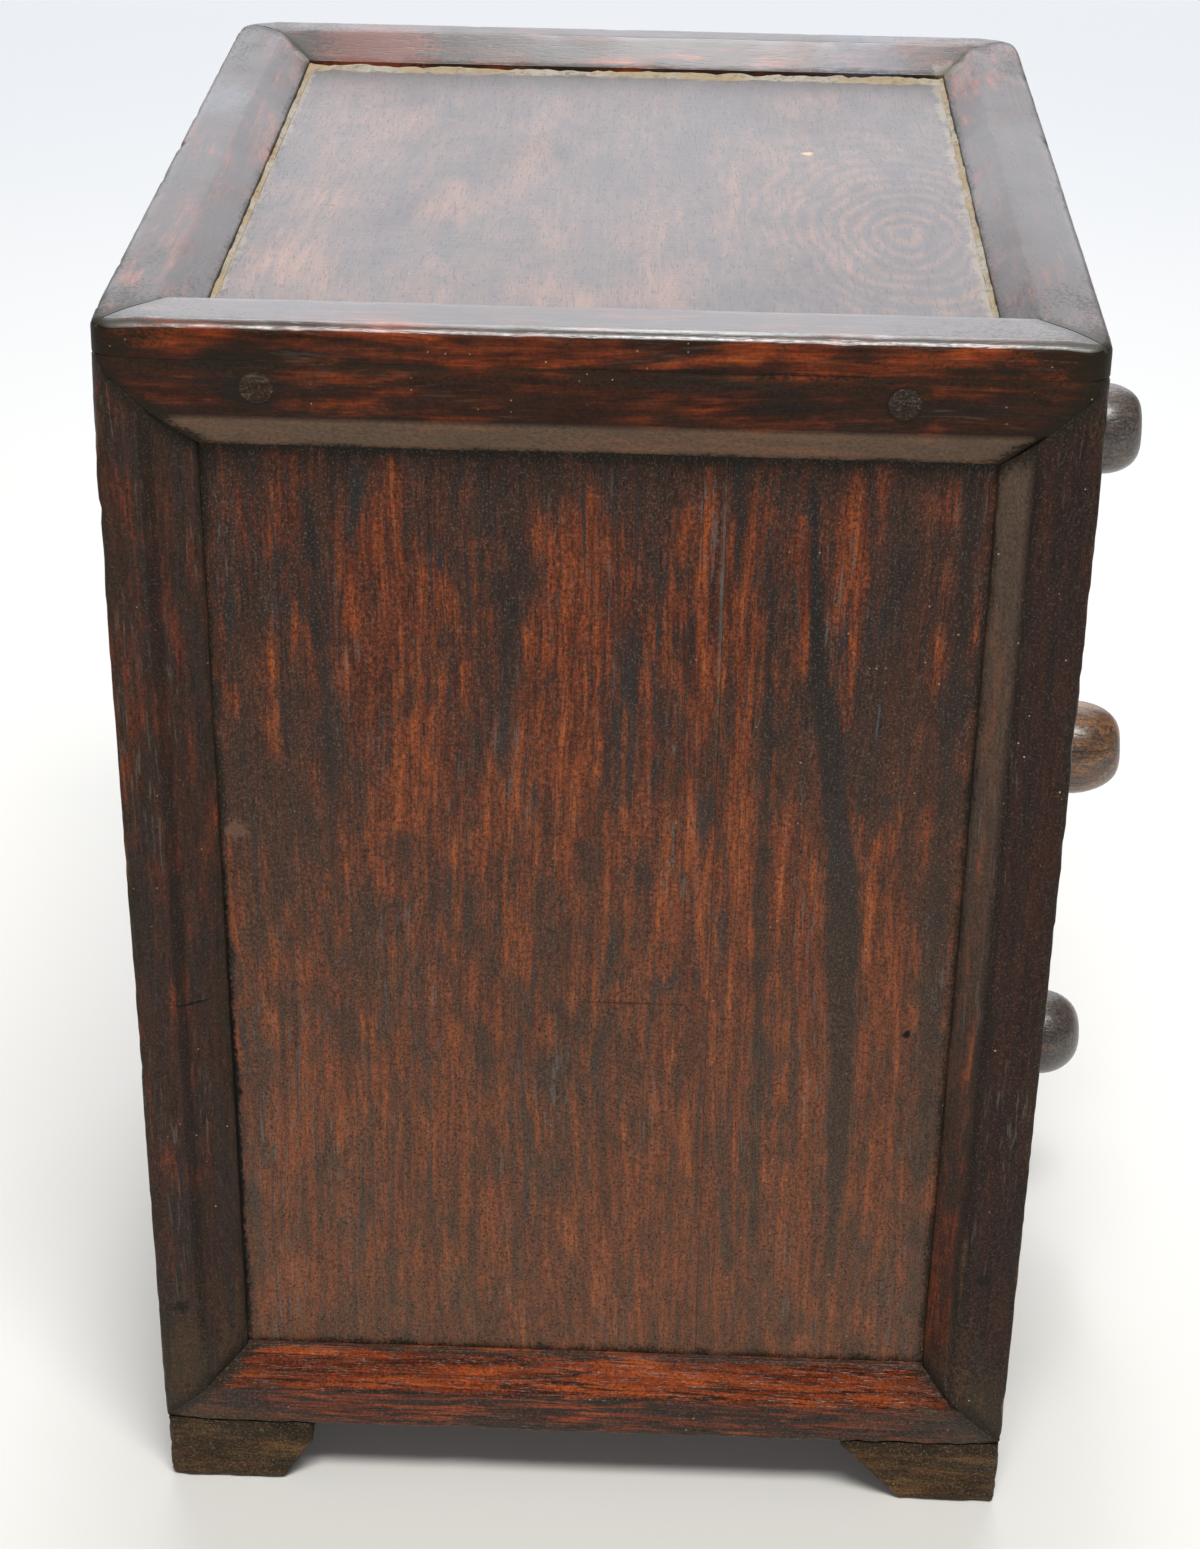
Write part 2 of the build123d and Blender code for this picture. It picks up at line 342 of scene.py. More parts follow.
def makeRosewoodFigure():
    tree = bpy.data.node_groups.new("rosewoodFigure", "ShaderNodeTree")
    tree.interface.new_socket("Vector", in_out="INPUT", socket_type="NodeSocketVector")
    grain = tree.nodes.new("NodeGroupInput").outputs[0]
    warpInputs = {"Vector": stretched(tree, grain, *figureScales["warp"]), "Scale": 1, "Detail": 2}
    warp = addNode(tree, "TexNoise", warpInputs).outputs["Color"]
    centred = vectorOf(tree, "SUBTRACT", warp, (0.5, 0.5, 0.5))
    wavy = vectorOf(tree, "ADD", grain, vectorOf(tree, "MULTIPLY", centred, figureWarp))

    def layer(name, detail):  # noise stretched along the grain
        return noiseOf(tree, wavy, *figureScales[name], detail=detail)

    def masked(name, detail):
        return rangeOf(tree, layer(name, detail), *figureMasks[name])

    def thinLines(name, detail):  # where the noise passes its middle value
        away = mathOf(tree, "ABSOLUTE", mathOf(tree, "SUBTRACT", layer(name, detail), 0.5))
        return rangeOf(tree, away, *figureMasks[name], 1, 0)

    made = {name: noiseOf(tree, wavy, *figureScales[name], detail=detail, rough=0.62)
            for name, detail in figureDetails.items()}
    made["pores"] = masked("pores", 1)
    made["flecks"] = mathOf(tree, "MULTIPLY", masked("flecks", 2), masked("fleckPatches", 3))
    made["veins"] = thinLines("veins", 3)
    made["lines"] = mathOf(tree, "MULTIPLY", thinLines("lines", 2), masked("lineBreaks", 2))
    cells = addNode(tree, "TexVoronoi", {"Vector": grain, "Scale": speckCells["perMetre"]})
    chosen = addNode(tree, "SeparateColor", {0: cells.outputs["Color"]}).outputs
    size = mathOf(tree, "MULTIPLY", chosen[1], speckCells["size"])
    near = mathOf(tree, "LESS_THAN", cells.outputs["Distance"], size)
    crowded = rangeOf(tree, evenNoise(tree, grain, speckCells["crowds"], 3), *figureMasks["crowded"])
    picked = mathOf(tree, "GREATER_THAN", chosen[0], crowded)
    made["specks"] = mathOf(tree, "MULTIPLY", mathOf(tree, "MULTIPLY", near, picked), chosen[2])

    output = tree.nodes.new("NodeGroupOutput")
    for name, value in made.items():
        tree.interface.new_socket(name, in_out="OUTPUT", socket_type="NodeSocketFloat")
        tree.links.new(value, output.inputs[name])
    return tree


rosewoodFigure = makeRosewoodFigure()
grainTurn = {"x": (0, 0, 0), "y": (0, 0, -math.pi / 2), "z": (0, math.pi / 2, 0)}

frameLook = {
    "weights": {"body": 1.6, "fibre": 0.25, "mottle": 0.1, "ripple": 0.1},
    "stops": woodStops((70, 30, 17), (108, 48, 24), (140, 62, 28), (168, 80, 36)),
    "film": (seen(44, 31, 23), seen(34, 34, 31)),  # its two tints
    "filmWeights": {"cloud": 0.3, "patch": 0.35, "rag": 0.2, "streak": 0.15},
    "filmRange": (0.40, 0.54),
    "filmMost": 0.9,
    "mottling": 0.3,
    "vein": seen(28, 19, 14),
    "veinAmount": 0.3,
    "salt": seen(138, 122, 104),
    "saltAmount": 0.06,
    "fleck": seen(112, 108, 94),
    "fleckAmount": 0.4,
    "pore": seen(22, 16, 12),
    "poreAmount": 0.5,
    # the colour of the pale painted sheen that stands for a reflection
    "paintedSheen": seen(142, 120, 100),
    "soil": (seen(80, 60, 41), seen(58, 52, 39)),  # earth that sticks to the lower corners
    "grimeAndShade": seen(36, 31, 21),
    "wear": seen(150, 112, 74),
    "speck": seen(204, 186, 146),
    "speckAmount": 0.8,
    "gloss": "haze",  # the layer that the polish follows
    "glossRange": (0.35, 0.8),
    "roughness": (0.36, 0.54),
    "specular": 0.16,
    "bump": 0.35,
}
panelLook = dict(
    frameLook,
    stops=woodStops((82, 37, 20), (114, 54, 27), (138, 67, 30), (164, 86, 40)),
    film=(seen(64, 43, 33), seen(48, 42, 37)),
    filmWeights={"cloud": 0.26, "patch": 0.30, "rag": 0.30, "streak": 0.14},
    filmRange=(0.42, 0.56),
    filmMost=0.85,
    fleckAmount=0.7,
    weights={"body": 1.8, "fibre": 0.25, "mottle": 0.1, "ripple": 0.1},
    vein=seen(30, 29, 29),
    veinAmount=0.5,
    line=seen(38, 42, 44),
    lineAmount=0.75,
    fleck=seen(96, 101, 100),
    # the colour of the painted sheen on the panel's lower part
    paintedSheen=seen(152, 122, 98),
    speckAmount=0.65,
    mottling=0.4,
    salt=seen(124, 116, 108),
    saltAmount=0.45,
    specular=0.16,
)
railLook = dict(
    frameLook,
    film=(seen(38, 26, 18), seen(30, 29, 25)),
    veinAmount=0.12,
    poreAmount=0.3,
    fleckAmount=0.2,
    mottling=0.2,
    saltAmount=0.04,
    speckAmount=0.5,
    specular=0.12,
)
sootyLook = dict(  # the stile that faces the hand: blackened, with pale crumbs
    frameLook,
    film=(seen(36, 27, 23), seen(27, 28, 27)),
    saltAmount=0.25,
    speckAmount=1.0,
)
stileLook = dict(
    frameLook,
    film=(seen(50, 38, 31), seen(42, 41, 38)),
    filmRange=(0.40, 0.58),
    saltAmount=0.2,
)
glossyLitLook = dict(  # the rail at the foot of each side: glossy, its wood brighter and more orange, painted light for its bevel that faces up
    frameLook,
    stops=woodStops((82, 34, 15), (122, 52, 22), (152, 68, 27), (180, 88, 38)),
    veinAmount=0.9,
    saltAmount=0.4,
    fleck=seen(150, 128, 108),
    fleckAmount=0.6,
    filmWeights={"streak": 0.5, "patch": 0.3, "cloud": 0.2},
    filmRange=(0.47, 0.57),
    specular=0.3,
    roughness=(0.24, 0.5),
    bump=0.7,
)
topFrameLook = dict(
    frameLook,
    specular=0.5,
    glossRange=(0.35, 0.95),
    roughness=(0.28, 0.6),
    veinAmount=0.15,
    fleckAmount=0.15,
    mottling=0.1,
    bump=0.16,
    saltAmount=0.02,
    speckAmount=0.25,
    grimeAndShade=seen(42, 40, 29),
)
topLook = dict(
    frameLook,
    stops=woodStops((100, 70, 58), (124, 86, 66), (142, 98, 70)),
    film=(seen(56, 47, 52), seen(56, 52, 52)),
    filmWeights={"cloud": 0.42, "rag": 0.25, "haze": 0.33},
    filmRange=(0.26, 0.56),
    mottling=0.15,
    veinAmount=0.1,
    saltAmount=0.04,
    fleckAmount=0.2,
    specular=0.5,
    roughness=(0.34, 0.46),
)
footLook = dict(
    frameLook,
    stops=woodStops((84, 54, 30), (110, 76, 42), (136, 102, 60)),
    film=(seen(64, 47, 29), seen(54, 48, 33)),
    grimeAndShade=seen(44, 37, 24),
    speck=seen(208, 178, 110),
    saltAmount=0.6,
    speckAmount=1.0,
    roughness=(0.5, 0.75),
    bump=1.0,
)
knobLook = dict(
    panelLook,
    stops=woodStops((96, 64, 40), (128, 88, 54), (152, 108, 66)),
    film=(seen(74, 70, 66), seen(70, 71, 72)),
    roughness=(0.3, 0.45),
    specular=0.6,
)
pegLook = dict(
    frameLook,
    film=(seen(38, 32, 26), seen(44, 42, 37)),
    filmRange=(0.20, 0.40),
    fleck=seen(132, 134, 124),
    fleckAmount=0.8,
    saltAmount=0.4,
)
innerLook = dict(
    frameLook,
    stops=woodStops((104, 72, 48), (130, 92, 62), (154, 112, 78)),
    film=(seen(110, 78, 54), seen(100, 74, 52)),
    mottling=0.15,
    fleckAmount=0.1,
    speckAmount=0.2,
    roughness=(0.6, 0.8),
)


def dustAlongEdges(tree, place, dust):  # most at the field's edge, none a little way in
    axes = addNode(tree, "SeparateXYZ", {0: place}).outputs
    nearest = 9.0  # in reaches: more than any edge
    for axis in (0, 1):
        lowReach, highReach = dust["reachLow"][axis], dust["reachHigh"][axis]
        fromLow = mathOf(tree, "MULTIPLY_ADD", axes[axis], 1 / lowReach, -dust["low"][axis] / lowReach)
        fromHigh = mathOf(tree, "MULTIPLY_ADD", axes[axis], -1 / highReach, dust["high"][axis] / highReach)
        nearest = mathOf(tree, "MINIMUM", mathOf(tree, "MINIMUM", fromLow, fromHigh), nearest)
    grain = evenNoise(tree, place, dust["grain"], 4, 0.65)
    uneven = rangeOf(tree, grain, 0.25, 0.75, dust["uneven"], -dust["uneven"])
    return rangeOf(tree, mathOf(tree, "ADD", nearest, uneven), *dust["ends"], dust["most"], 0)


markEdge = {"grain": 900, "ragged": 0.3, "ends": (0.6, 1.1)}  # where a mark ends, in radii


def mark(place, radius, colour, amount=1.0, shape=(1, 1, 1)):  # place and radius in mm
    centre = Vector(place) * mm
    return {"centre": centre, "radius": radius * mm, "colour": colour, "amount": amount, "shape": shape}


def markMask(tree, place, mark):  # one small hole, stain or speck
    away = vectorOf(tree, "DIVIDE", vectorOf(tree, "SUBTRACT", place, mark["centre"]), mark["shape"])
    grain = evenNoise(tree, place, markEdge["grain"], 2)
    ragged = rangeOf(tree, grain, 0.3, 0.7, -markEdge["ragged"], markEdge["ragged"])
    edge = mathOf(tree, "MULTIPLY_ADD", ragged, mark["radius"], vectorOf(tree, "LENGTH", away))
    return rangeOf(tree, edge, *(mark["radius"] * end for end in markEdge["ends"]), mark["amount"], 0)


def swirlOf(tree, place, swirl):  # growth rings cut across
    start = [-middle * share for middle, share in zip(swirl["centre"], swirl["squeeze"])]
    inputs = {"Vector": place, "Location": start, "Scale": swirl["squeeze"]}
    squeezed = addNode(tree, "Mapping", inputs).outputs[0]
    noise = addNode(tree, "TexNoise", {"Vector": place, "Scale": swirl["wander"], "Detail": 3})
    uneven = noise.outputs["Color"]
    radius = vectorOf(tree, "LENGTH", vectorOf(tree, "MULTIPLY_ADD", uneven, (swirl["bend"],) * 3, squeezed))
    rings = mathOf(tree, "SINE", mathOf(tree, "MULTIPLY", radius, 2 * math.pi / swirl["spacing"]))
    strength = rangeOf(tree, radius, swirl["full"], swirl["reach"], swirl["amount"], 0)
    return mathOf(tree, "MULTIPLY", rings, strength)


woodMasks = {  # a layer's levels from and to, then what they turn into
    "tint": (0.4, 0.6),
    "mottling": (0.3, 0.7),
    "coarse": (0.3, 0.7, -0.25, 0.25),
    "fine": (0.3, 0.7, -0.3, 0.3),
    "vein": (0.15, 0.8, 0, 0.8),
    # how unevenly the painted sheen lies
    "sheenGrain": (0.3, 0.7, 0.7, 1.2),
    "soil": (0.25, 0.9, 0, 0.85),
    "grimeAndShade": (0.25, 0.95, 0, 0.92),
    "wear": (0.5, 1.2, 0, 0.6),
    "wearBreaks": (0.32, 0.68, -0.6, 0.4),
    "wearGrain": (0.36, 0.6, 0.25, 1),
    "pits": (0.28, 0.46),
    "salt": (0.54, 0.72),
}
woodRelief = {"fibre": 0.6, "mottle": 0.5, "ripple": 0.5}
woodSurface = {"reliefDepth": 0.15 * mm, "grimeDull": 0.3, "coatRoughness": 0.24}


def woodMaterial(name, look, grain, seed, coat=0.0, dust=None, swirl=None, marks=()):
    material, tree, shader, place = newMaterial(name)
    start = (0.37 * seed, 0.21 * seed, 0.53 * seed)  # each board is cut from another place
    turn = {"Vector": place, "Location": start, "Rotation": grainTurn[grain]}
    turned = addNode(tree, "Mapping", turn).outputs[0]
    figure = addNode(tree, "Group", {0: turned}, node_tree=rosewoodFigure).outputs

    def masked(kind, value, *ends):
        return rangeOf(tree, value, *woodMasks[kind], *ends)

    def painted(kind, uneven):  # what is painted on the piece, with uneven edges
        return masked(kind, mathOf(tree, "ADD", attributeOf(tree, kind), uneven))

    def sprinkled(kind):  # the figure's pores, flecks, veins, lines or specks
        return mathOf(tree, "MULTIPLY", figure[kind + "s"], look[kind + "Amount"])

    def cover(amount, layer, mode="MIX"):  # lays one more layer over the colour
        nonlocal colour
        colour = mixColour(tree, amount, colour, layer, mode)

    level = weighed(tree, figure, look["weights"], 0.5 - sum(look["weights"].values()) / 2)
    colour = rampOf(tree, level, look["stops"])
    tone = attributeOf(tree, "tone")
    if swirl:
        tone = mathOf(tree, "ADD", tone, swirlOf(tree, place, swirl))
    thickness = weighed(tree, figure, look["filmWeights"], mathOf(tree, "MULTIPLY", tone, -1))
    film = rangeOf(tree, thickness, *look["filmRange"], 0, look["filmMost"])
    tint = masked("tint", figure["tint"])
    cover(film, mixColour(tree, tint, *look["film"]))
    mottling = masked("mottling", figure["mottle"], 1 - look["mottling"], 1 + look["mottling"])
    cover(1.0, mottling, "MULTIPLY")
    for kind in ("pore", "fleck", "vein"):
        cover(sprinkled(kind), look[kind])
    ragged = mathOf(tree, "ADD", masked("coarse", figure["rag"]), masked("fine", figure["mottle"]))
    cover(painted("vein", ragged), look["vein"])
    if "lineAmount" in look:
        cover(sprinkled("line"), look["line"])
    # painted sheen: a pale film laid where a reflection shows
    paintedSheen = mathOf(tree, "MULTIPLY", attributeOf(tree, "paintedSheen"), masked("sheenGrain", figure["mottle"]))
    cover(paintedSheen, look["paintedSheen"])
    cover(painted("soil", ragged), mixColour(tree, tint, *look["soil"]))
    # grime, with painted shade along the lips and the panels' edges
    grimeAndShade = painted("grimeAndShade", ragged)
    cover(grimeAndShade, look["grimeAndShade"])
    wear = painted("wear", masked("wearBreaks", figure["tint"]))
    wear = mathOf(tree, "MULTIPLY", wear, masked("wearGrain", figure["mottle"]))
    cover(wear, look["wear"])
    pits = masked("pits", figure["salt"], min(1.0, look["saltAmount"] * 2), 0)
    cover(pits, look["vein"])
    cover(masked("salt", figure["salt"], 0, look["saltAmount"]), look["salt"])
    cover(sprinkled("speck"), look["speck"])
    if dust:
        dusted = dustAlongEdges(tree, place, dust)
        cover(dusted, dust["colour"])
        grimeAndShade = mathOf(tree, "MAXIMUM", grimeAndShade, dusted)
    for spot in marks:
        cover(markMask(tree, place, spot), spot["colour"])

    dull = mathOf(tree, "MULTIPLY_ADD", grimeAndShade, woodSurface["grimeDull"], figure[look["gloss"]])
    relief = weighed(tree, figure, woodRelief, mathOf(tree, "MULTIPLY", figure["pores"], -1.0))
    bump = bumpOf(tree, relief, look["bump"], woodSurface["reliefDepth"])
    setInputs(tree, shader, {
        "Base Color": colour,
        "Roughness": rangeOf(tree, dull, *look["glossRange"], *look["roughness"]),
        "Specular IOR Level": look["specular"],
        "Normal": bump,
    })
    if coat:
        coatRoughness = woodSurface["coatRoughness"]
        setInputs(tree, shader, {"Coat Weight": coat, "Coat Roughness": coatRoughness, "Coat Normal": bump})
    return material


ironLook = {
    "metal": seen(58, 54, 52),
    "rust": seen(92, 54, 34),
    "grain": 900,
    "rusted": (0.42, 0.62),
    "roughness": (0.45, 0.85),
    "metallic": 0.6,
    "bump": (0.4, 0.1 * mm),
}


def ironMaterial():
    material, tree, shader, place = newMaterial("nailIron")
    rust = rangeOf(tree, evenNoise(tree, place, ironLook["grain"], 4), *ironLook["rusted"])
    setInputs(tree, shader, {
        "Base Color": mixColour(tree, rust, ironLook["metal"], ironLook["rust"]),
        "Roughness": rangeOf(tree, rust, 0, 1, *ironLook["roughness"]),
        "Metallic": ironLook["metallic"],
        "Normal": bumpOf(tree, rust, *ironLook["bump"]),
    })
    return material


# Mitred frames: sides, back and top

sideFrame = {
    "flats": {
        "front_stile": 13.0 * mm, "back_stile": 10.2 * mm, "top_rail": 11.2 * mm, "bottom_rail": 10.4 * mm,
    },
    "drop": 5.2 * mm,  # how far the bevel falls towards the panel
    "round": {"outer": 1.1 * mm, "ridge": 0.5 * mm, "lip": 0.35 * mm, "mitre": 0.12 * mm, "close": 0.05 * mm},
    "closeEdges": ("top_rail",),  # members whose outer edge lies against another piece
    "setBack": {  # behind the ends of the boards let into them: depth and reach
        "front_stile": (0.12 * mm, 2 * mm), "bottom_rail": (0.12 * mm, 2 * mm),
    },
    "joint": 0.05 * mm,  # half the hairline gap in each mitre
    "corner": 0.7 * mm,
    "tones": {  # lighter or darker than the rest: outer edge, flat, bevel
        "front_stile": (-0.14, -0.14, -0.02),
        "back_stile": (-0.045, -0.045, -0.075),
        "top_rail": (-0.02, -0.02, 0.0),
        # the bottom rail's bevel faces up into the light and is painted lighter
        "bottom_rail": (-0.05, -0.035, 0.09),
    },
    "finishes": {
        "bottom_rail": glossyLitLook, "top_rail": railLook, "front_stile": sootyLook, "back_stile": stileLook,
    },
    "soil": {"rise": (0.95, 60 * mm), "foot": (0.55, 6 * mm), "outer": (0.45, 5 * mm)},  # amount and reach
    # painted sheen on the bevels of these members: amount
    "bevelSheen": {"top_rail": 0.62, "front_stile": 0.4},
    "outerWear": {"front_stile": (0.6, 1.6 * mm)},
    "ridgeLines": {"back_stile": 1.6, "front_stile": 0.9},  # dirt in the line between flat and bevel
    "grimeAndShade": {  # amount and reach from each line; along the lip it is painted shade
        "mitre": (1.2, 4 * mm), "lip": (0.75, 2.2 * mm), "outer": (0.55, 4 * mm),
        "end": (0.55, 20 * mm), "farEnd": (0.0, 70 * mm), "edge": (0.3, 3 * mm),
    },
    "unevenness": 1.0,
    "coats": {},
}
backFrame = dict(
    sideFrame,
    flats={name: 11.0 * mm for name in ("left_stile", "right_stile", "top_rail", "bottom_rail")},
    closeEdges=("left_stile", "right_stile", "top_rail"),
    setBack={},
    tones={},
)
topRails = ("front_rail", "back_rail", "left_rail", "right_rail")
topFrame = dict(
    sideFrame,
    flats=dict(zip(topRails, (13.0 * mm, 12.0 * mm, 14.0 * mm, 9.0 * mm))),
    drop=4.8 * mm,
    round={"outer": 2.5 * mm, "ridge": 0.45 * mm, "lip": 0.35 * mm, "mitre": 0.12 * mm, "close": 0.05 * mm},
    closeEdges=(),
    setBack={},
    corner=3.4 * mm,
    tones={name: (0.0, -0.03, -0.02) for name in topRails},
    bevelSheen={},
    finishes={name: railLook for name in topRails},
    soil=None,
    outerWear={name: (0.4, 0.8 * mm) for name in topRails},
    grimeAndShade=dict(sideFrame["grimeAndShade"], end=(1.25, 20 * mm), farEnd=(0.7, 70 * mm), edge=(0.0, 3 * mm)),
    coats=dict(zip(topRails, ((0.15, 0.5), (0.12, 0.5), (0.45, 0.8), (0.3, 0.55)))),  # coat and specular
    unevenness=0.5,
)
sideFoot, sideTop = 17.6 * mm, 284.4 * mm  # where the sides start and end
memberStep = 1.6 * mm  # spacing of the mesh on the faces that show
mitreSlack = 2 * mm  # an edge in a mitre runs along by the width and no more than this
memberWear = {  # depth and size in mm, contrast and level
    "sag": (0.3, 45, 1.0, 1.0),
    "ripple": (0.12, 9, 1.0, 1.0),
    "corner": (1.6, 20, 0.5, 1.2),
    "wave": (0.35, 30, 1.0, 1.0),
    "nicks": (0.7, 6, 4.0, 0.1),
    "fray": (0.25, 2.2, 2.0, 0.7),
    "ridge": (0.4, 9, 2.0, 0.6),
    "lip": (0.18, 7, 2.5, 0.6),
}
memberReach = {"outer": 3.0 * mm, "ridge": 2.0 * mm, "lip": 1.6 * mm, "corner": 10 * mm}  # of the wear
memberPaint = {
    "nearFace": 0.1 * mm,
    "edgeFrom": 0.4 * mm,  # where each tone starts
    "bevelFrom": 0.2 * mm,
    # where the painted sheen starts on the bevel, and how far down from the top it fades
    "sheenFrom": 0.3 * mm,
    "sheenFall": 230 * mm,
    "soiledEnds": 55 * mm,
    "ridgeWear": (0.55, 0.9 * mm),
    "outerWear": (0.7, 1.2 * mm),
    "ridgeLine": 1.4 * mm,
    "closeFade": 4 * mm,
    "facingUp": 0.35,
}


def memberPlace(node, normal, centre):
    low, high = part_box(node)
    size = high - low
    axes = [axis for axis in range(3) if abs(normal[axis]) < 0.5]
    across = min(axes, key=lambda axis: size[axis])
    inward = Vector((0, 0, 0))
    inward[across] = 1 if centre[across] > (low[across] + high[across]) / 2 else -1
    along = inward.cross(normal)
    corner = Vector()
    for axis in range(3):
        start = along[axis] + inward[axis] - normal[axis]
        corner[axis] = low[axis] if start > 0 else high[axis]
    turn = Matrix((along, inward, normal)).transposed().to_4x4()
    lengths = [abs(size.dot(direction)) for direction in (along, inward, normal)]
    grain = "xyz"[max(range(3), key=lambda axis: abs(along[axis]))]
    return Matrix.Translation(corner) @ turn, lengths, grain


topCorners = {  # the worn upper corners of the sides: round at the top, sharp again lower down
    "radius": 5.0 * mm,
    "fall": 26 * mm,
}


def easeTopCorners(piece, normal):
    low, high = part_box("left_top_rail")
    for vertex in piece.data.vertices:
        radius = topCorners["radius"] * fade(high.z - vertex.co.z, topCorners["fall"])
        fromSide = -low.x - normal.x * vertex.co.x
        for edge, sign in ((low.y, 1), (high.y, -1)):
            fromEdge = sign * (vertex.co.y - edge)
            offset = Vector((fromSide - radius, fromEdge - radius))
            if max(offset) < 0 and offset.length > radius:
                offset *= radius / offset.length
                vertex.co.x = -normal.x * (low.x + radius + offset.x)
                vertex.co.y = edge + sign * (radius + offset.y)


sootStain, plugStain, paleDust = seen(34, 31, 26), seen(24, 20, 16), seen(128, 120, 104)
jointLine = mark((-108.5, -10, 284.5), 1.0, seen(20, 17, 14), 0.6, (9, 30, 0.5))
memberMarks = {  # stains, plugs, open joints and painted reflections that the photograph shows
    "left_top_rail": [
        jointLine,
        mark((-108.5, 80.5, 278.4), 5, sootStain, 0.6),
        mark((-108.5, -46.5, 278.4), 5, sootStain, 0.6),
    ],
    "top_left_rail": [jointLine],
    "left_front_stile": [mark((-108.5, -76.5, 67), 2.1, plugStain, 0.8)],
    "left_back_stile": [
        mark((-108.5, 106.7, 52), 2.1, plugStain, 0.8),
        mark((-108.5, 100, 135), 1.0, seen(20, 16, 13), shape=(9, 5, 0.4)),
    ],
    "top_right_rail": [
        # a dark bluish patch: painted reflection
        mark((94, -46, 289), 9, seen(58, 70, 88), 0.5, (2, 1.4, 1)),
        mark((94, 76, 289), 9, seen(128, 62, 44), 0.5, (2, 1.6, 1)),
        mark((90, -66, 288), 3.5, paleDust, 0.55),
    ],
    "top_front_rail": [mark((88, -68, 288), 4, paleDust, 0.55)],
    "top_back_rail": [
        mark((88, 94, 288), 3, paleDust, 0.55),
        # a bluish patch: painted reflection
        mark((38, 106, 292), 6, seen(88, 100, 112), 0.4, (2, 1, 1)),
        mark((17, 106, 292), 1, seen(30, 26, 24), 0.8, (0.5, 6, 2)),
        mark((58, 107, 292), 1.2, seen(40, 34, 28), 0.8, (0.6, 2, 2)),
    ],
}


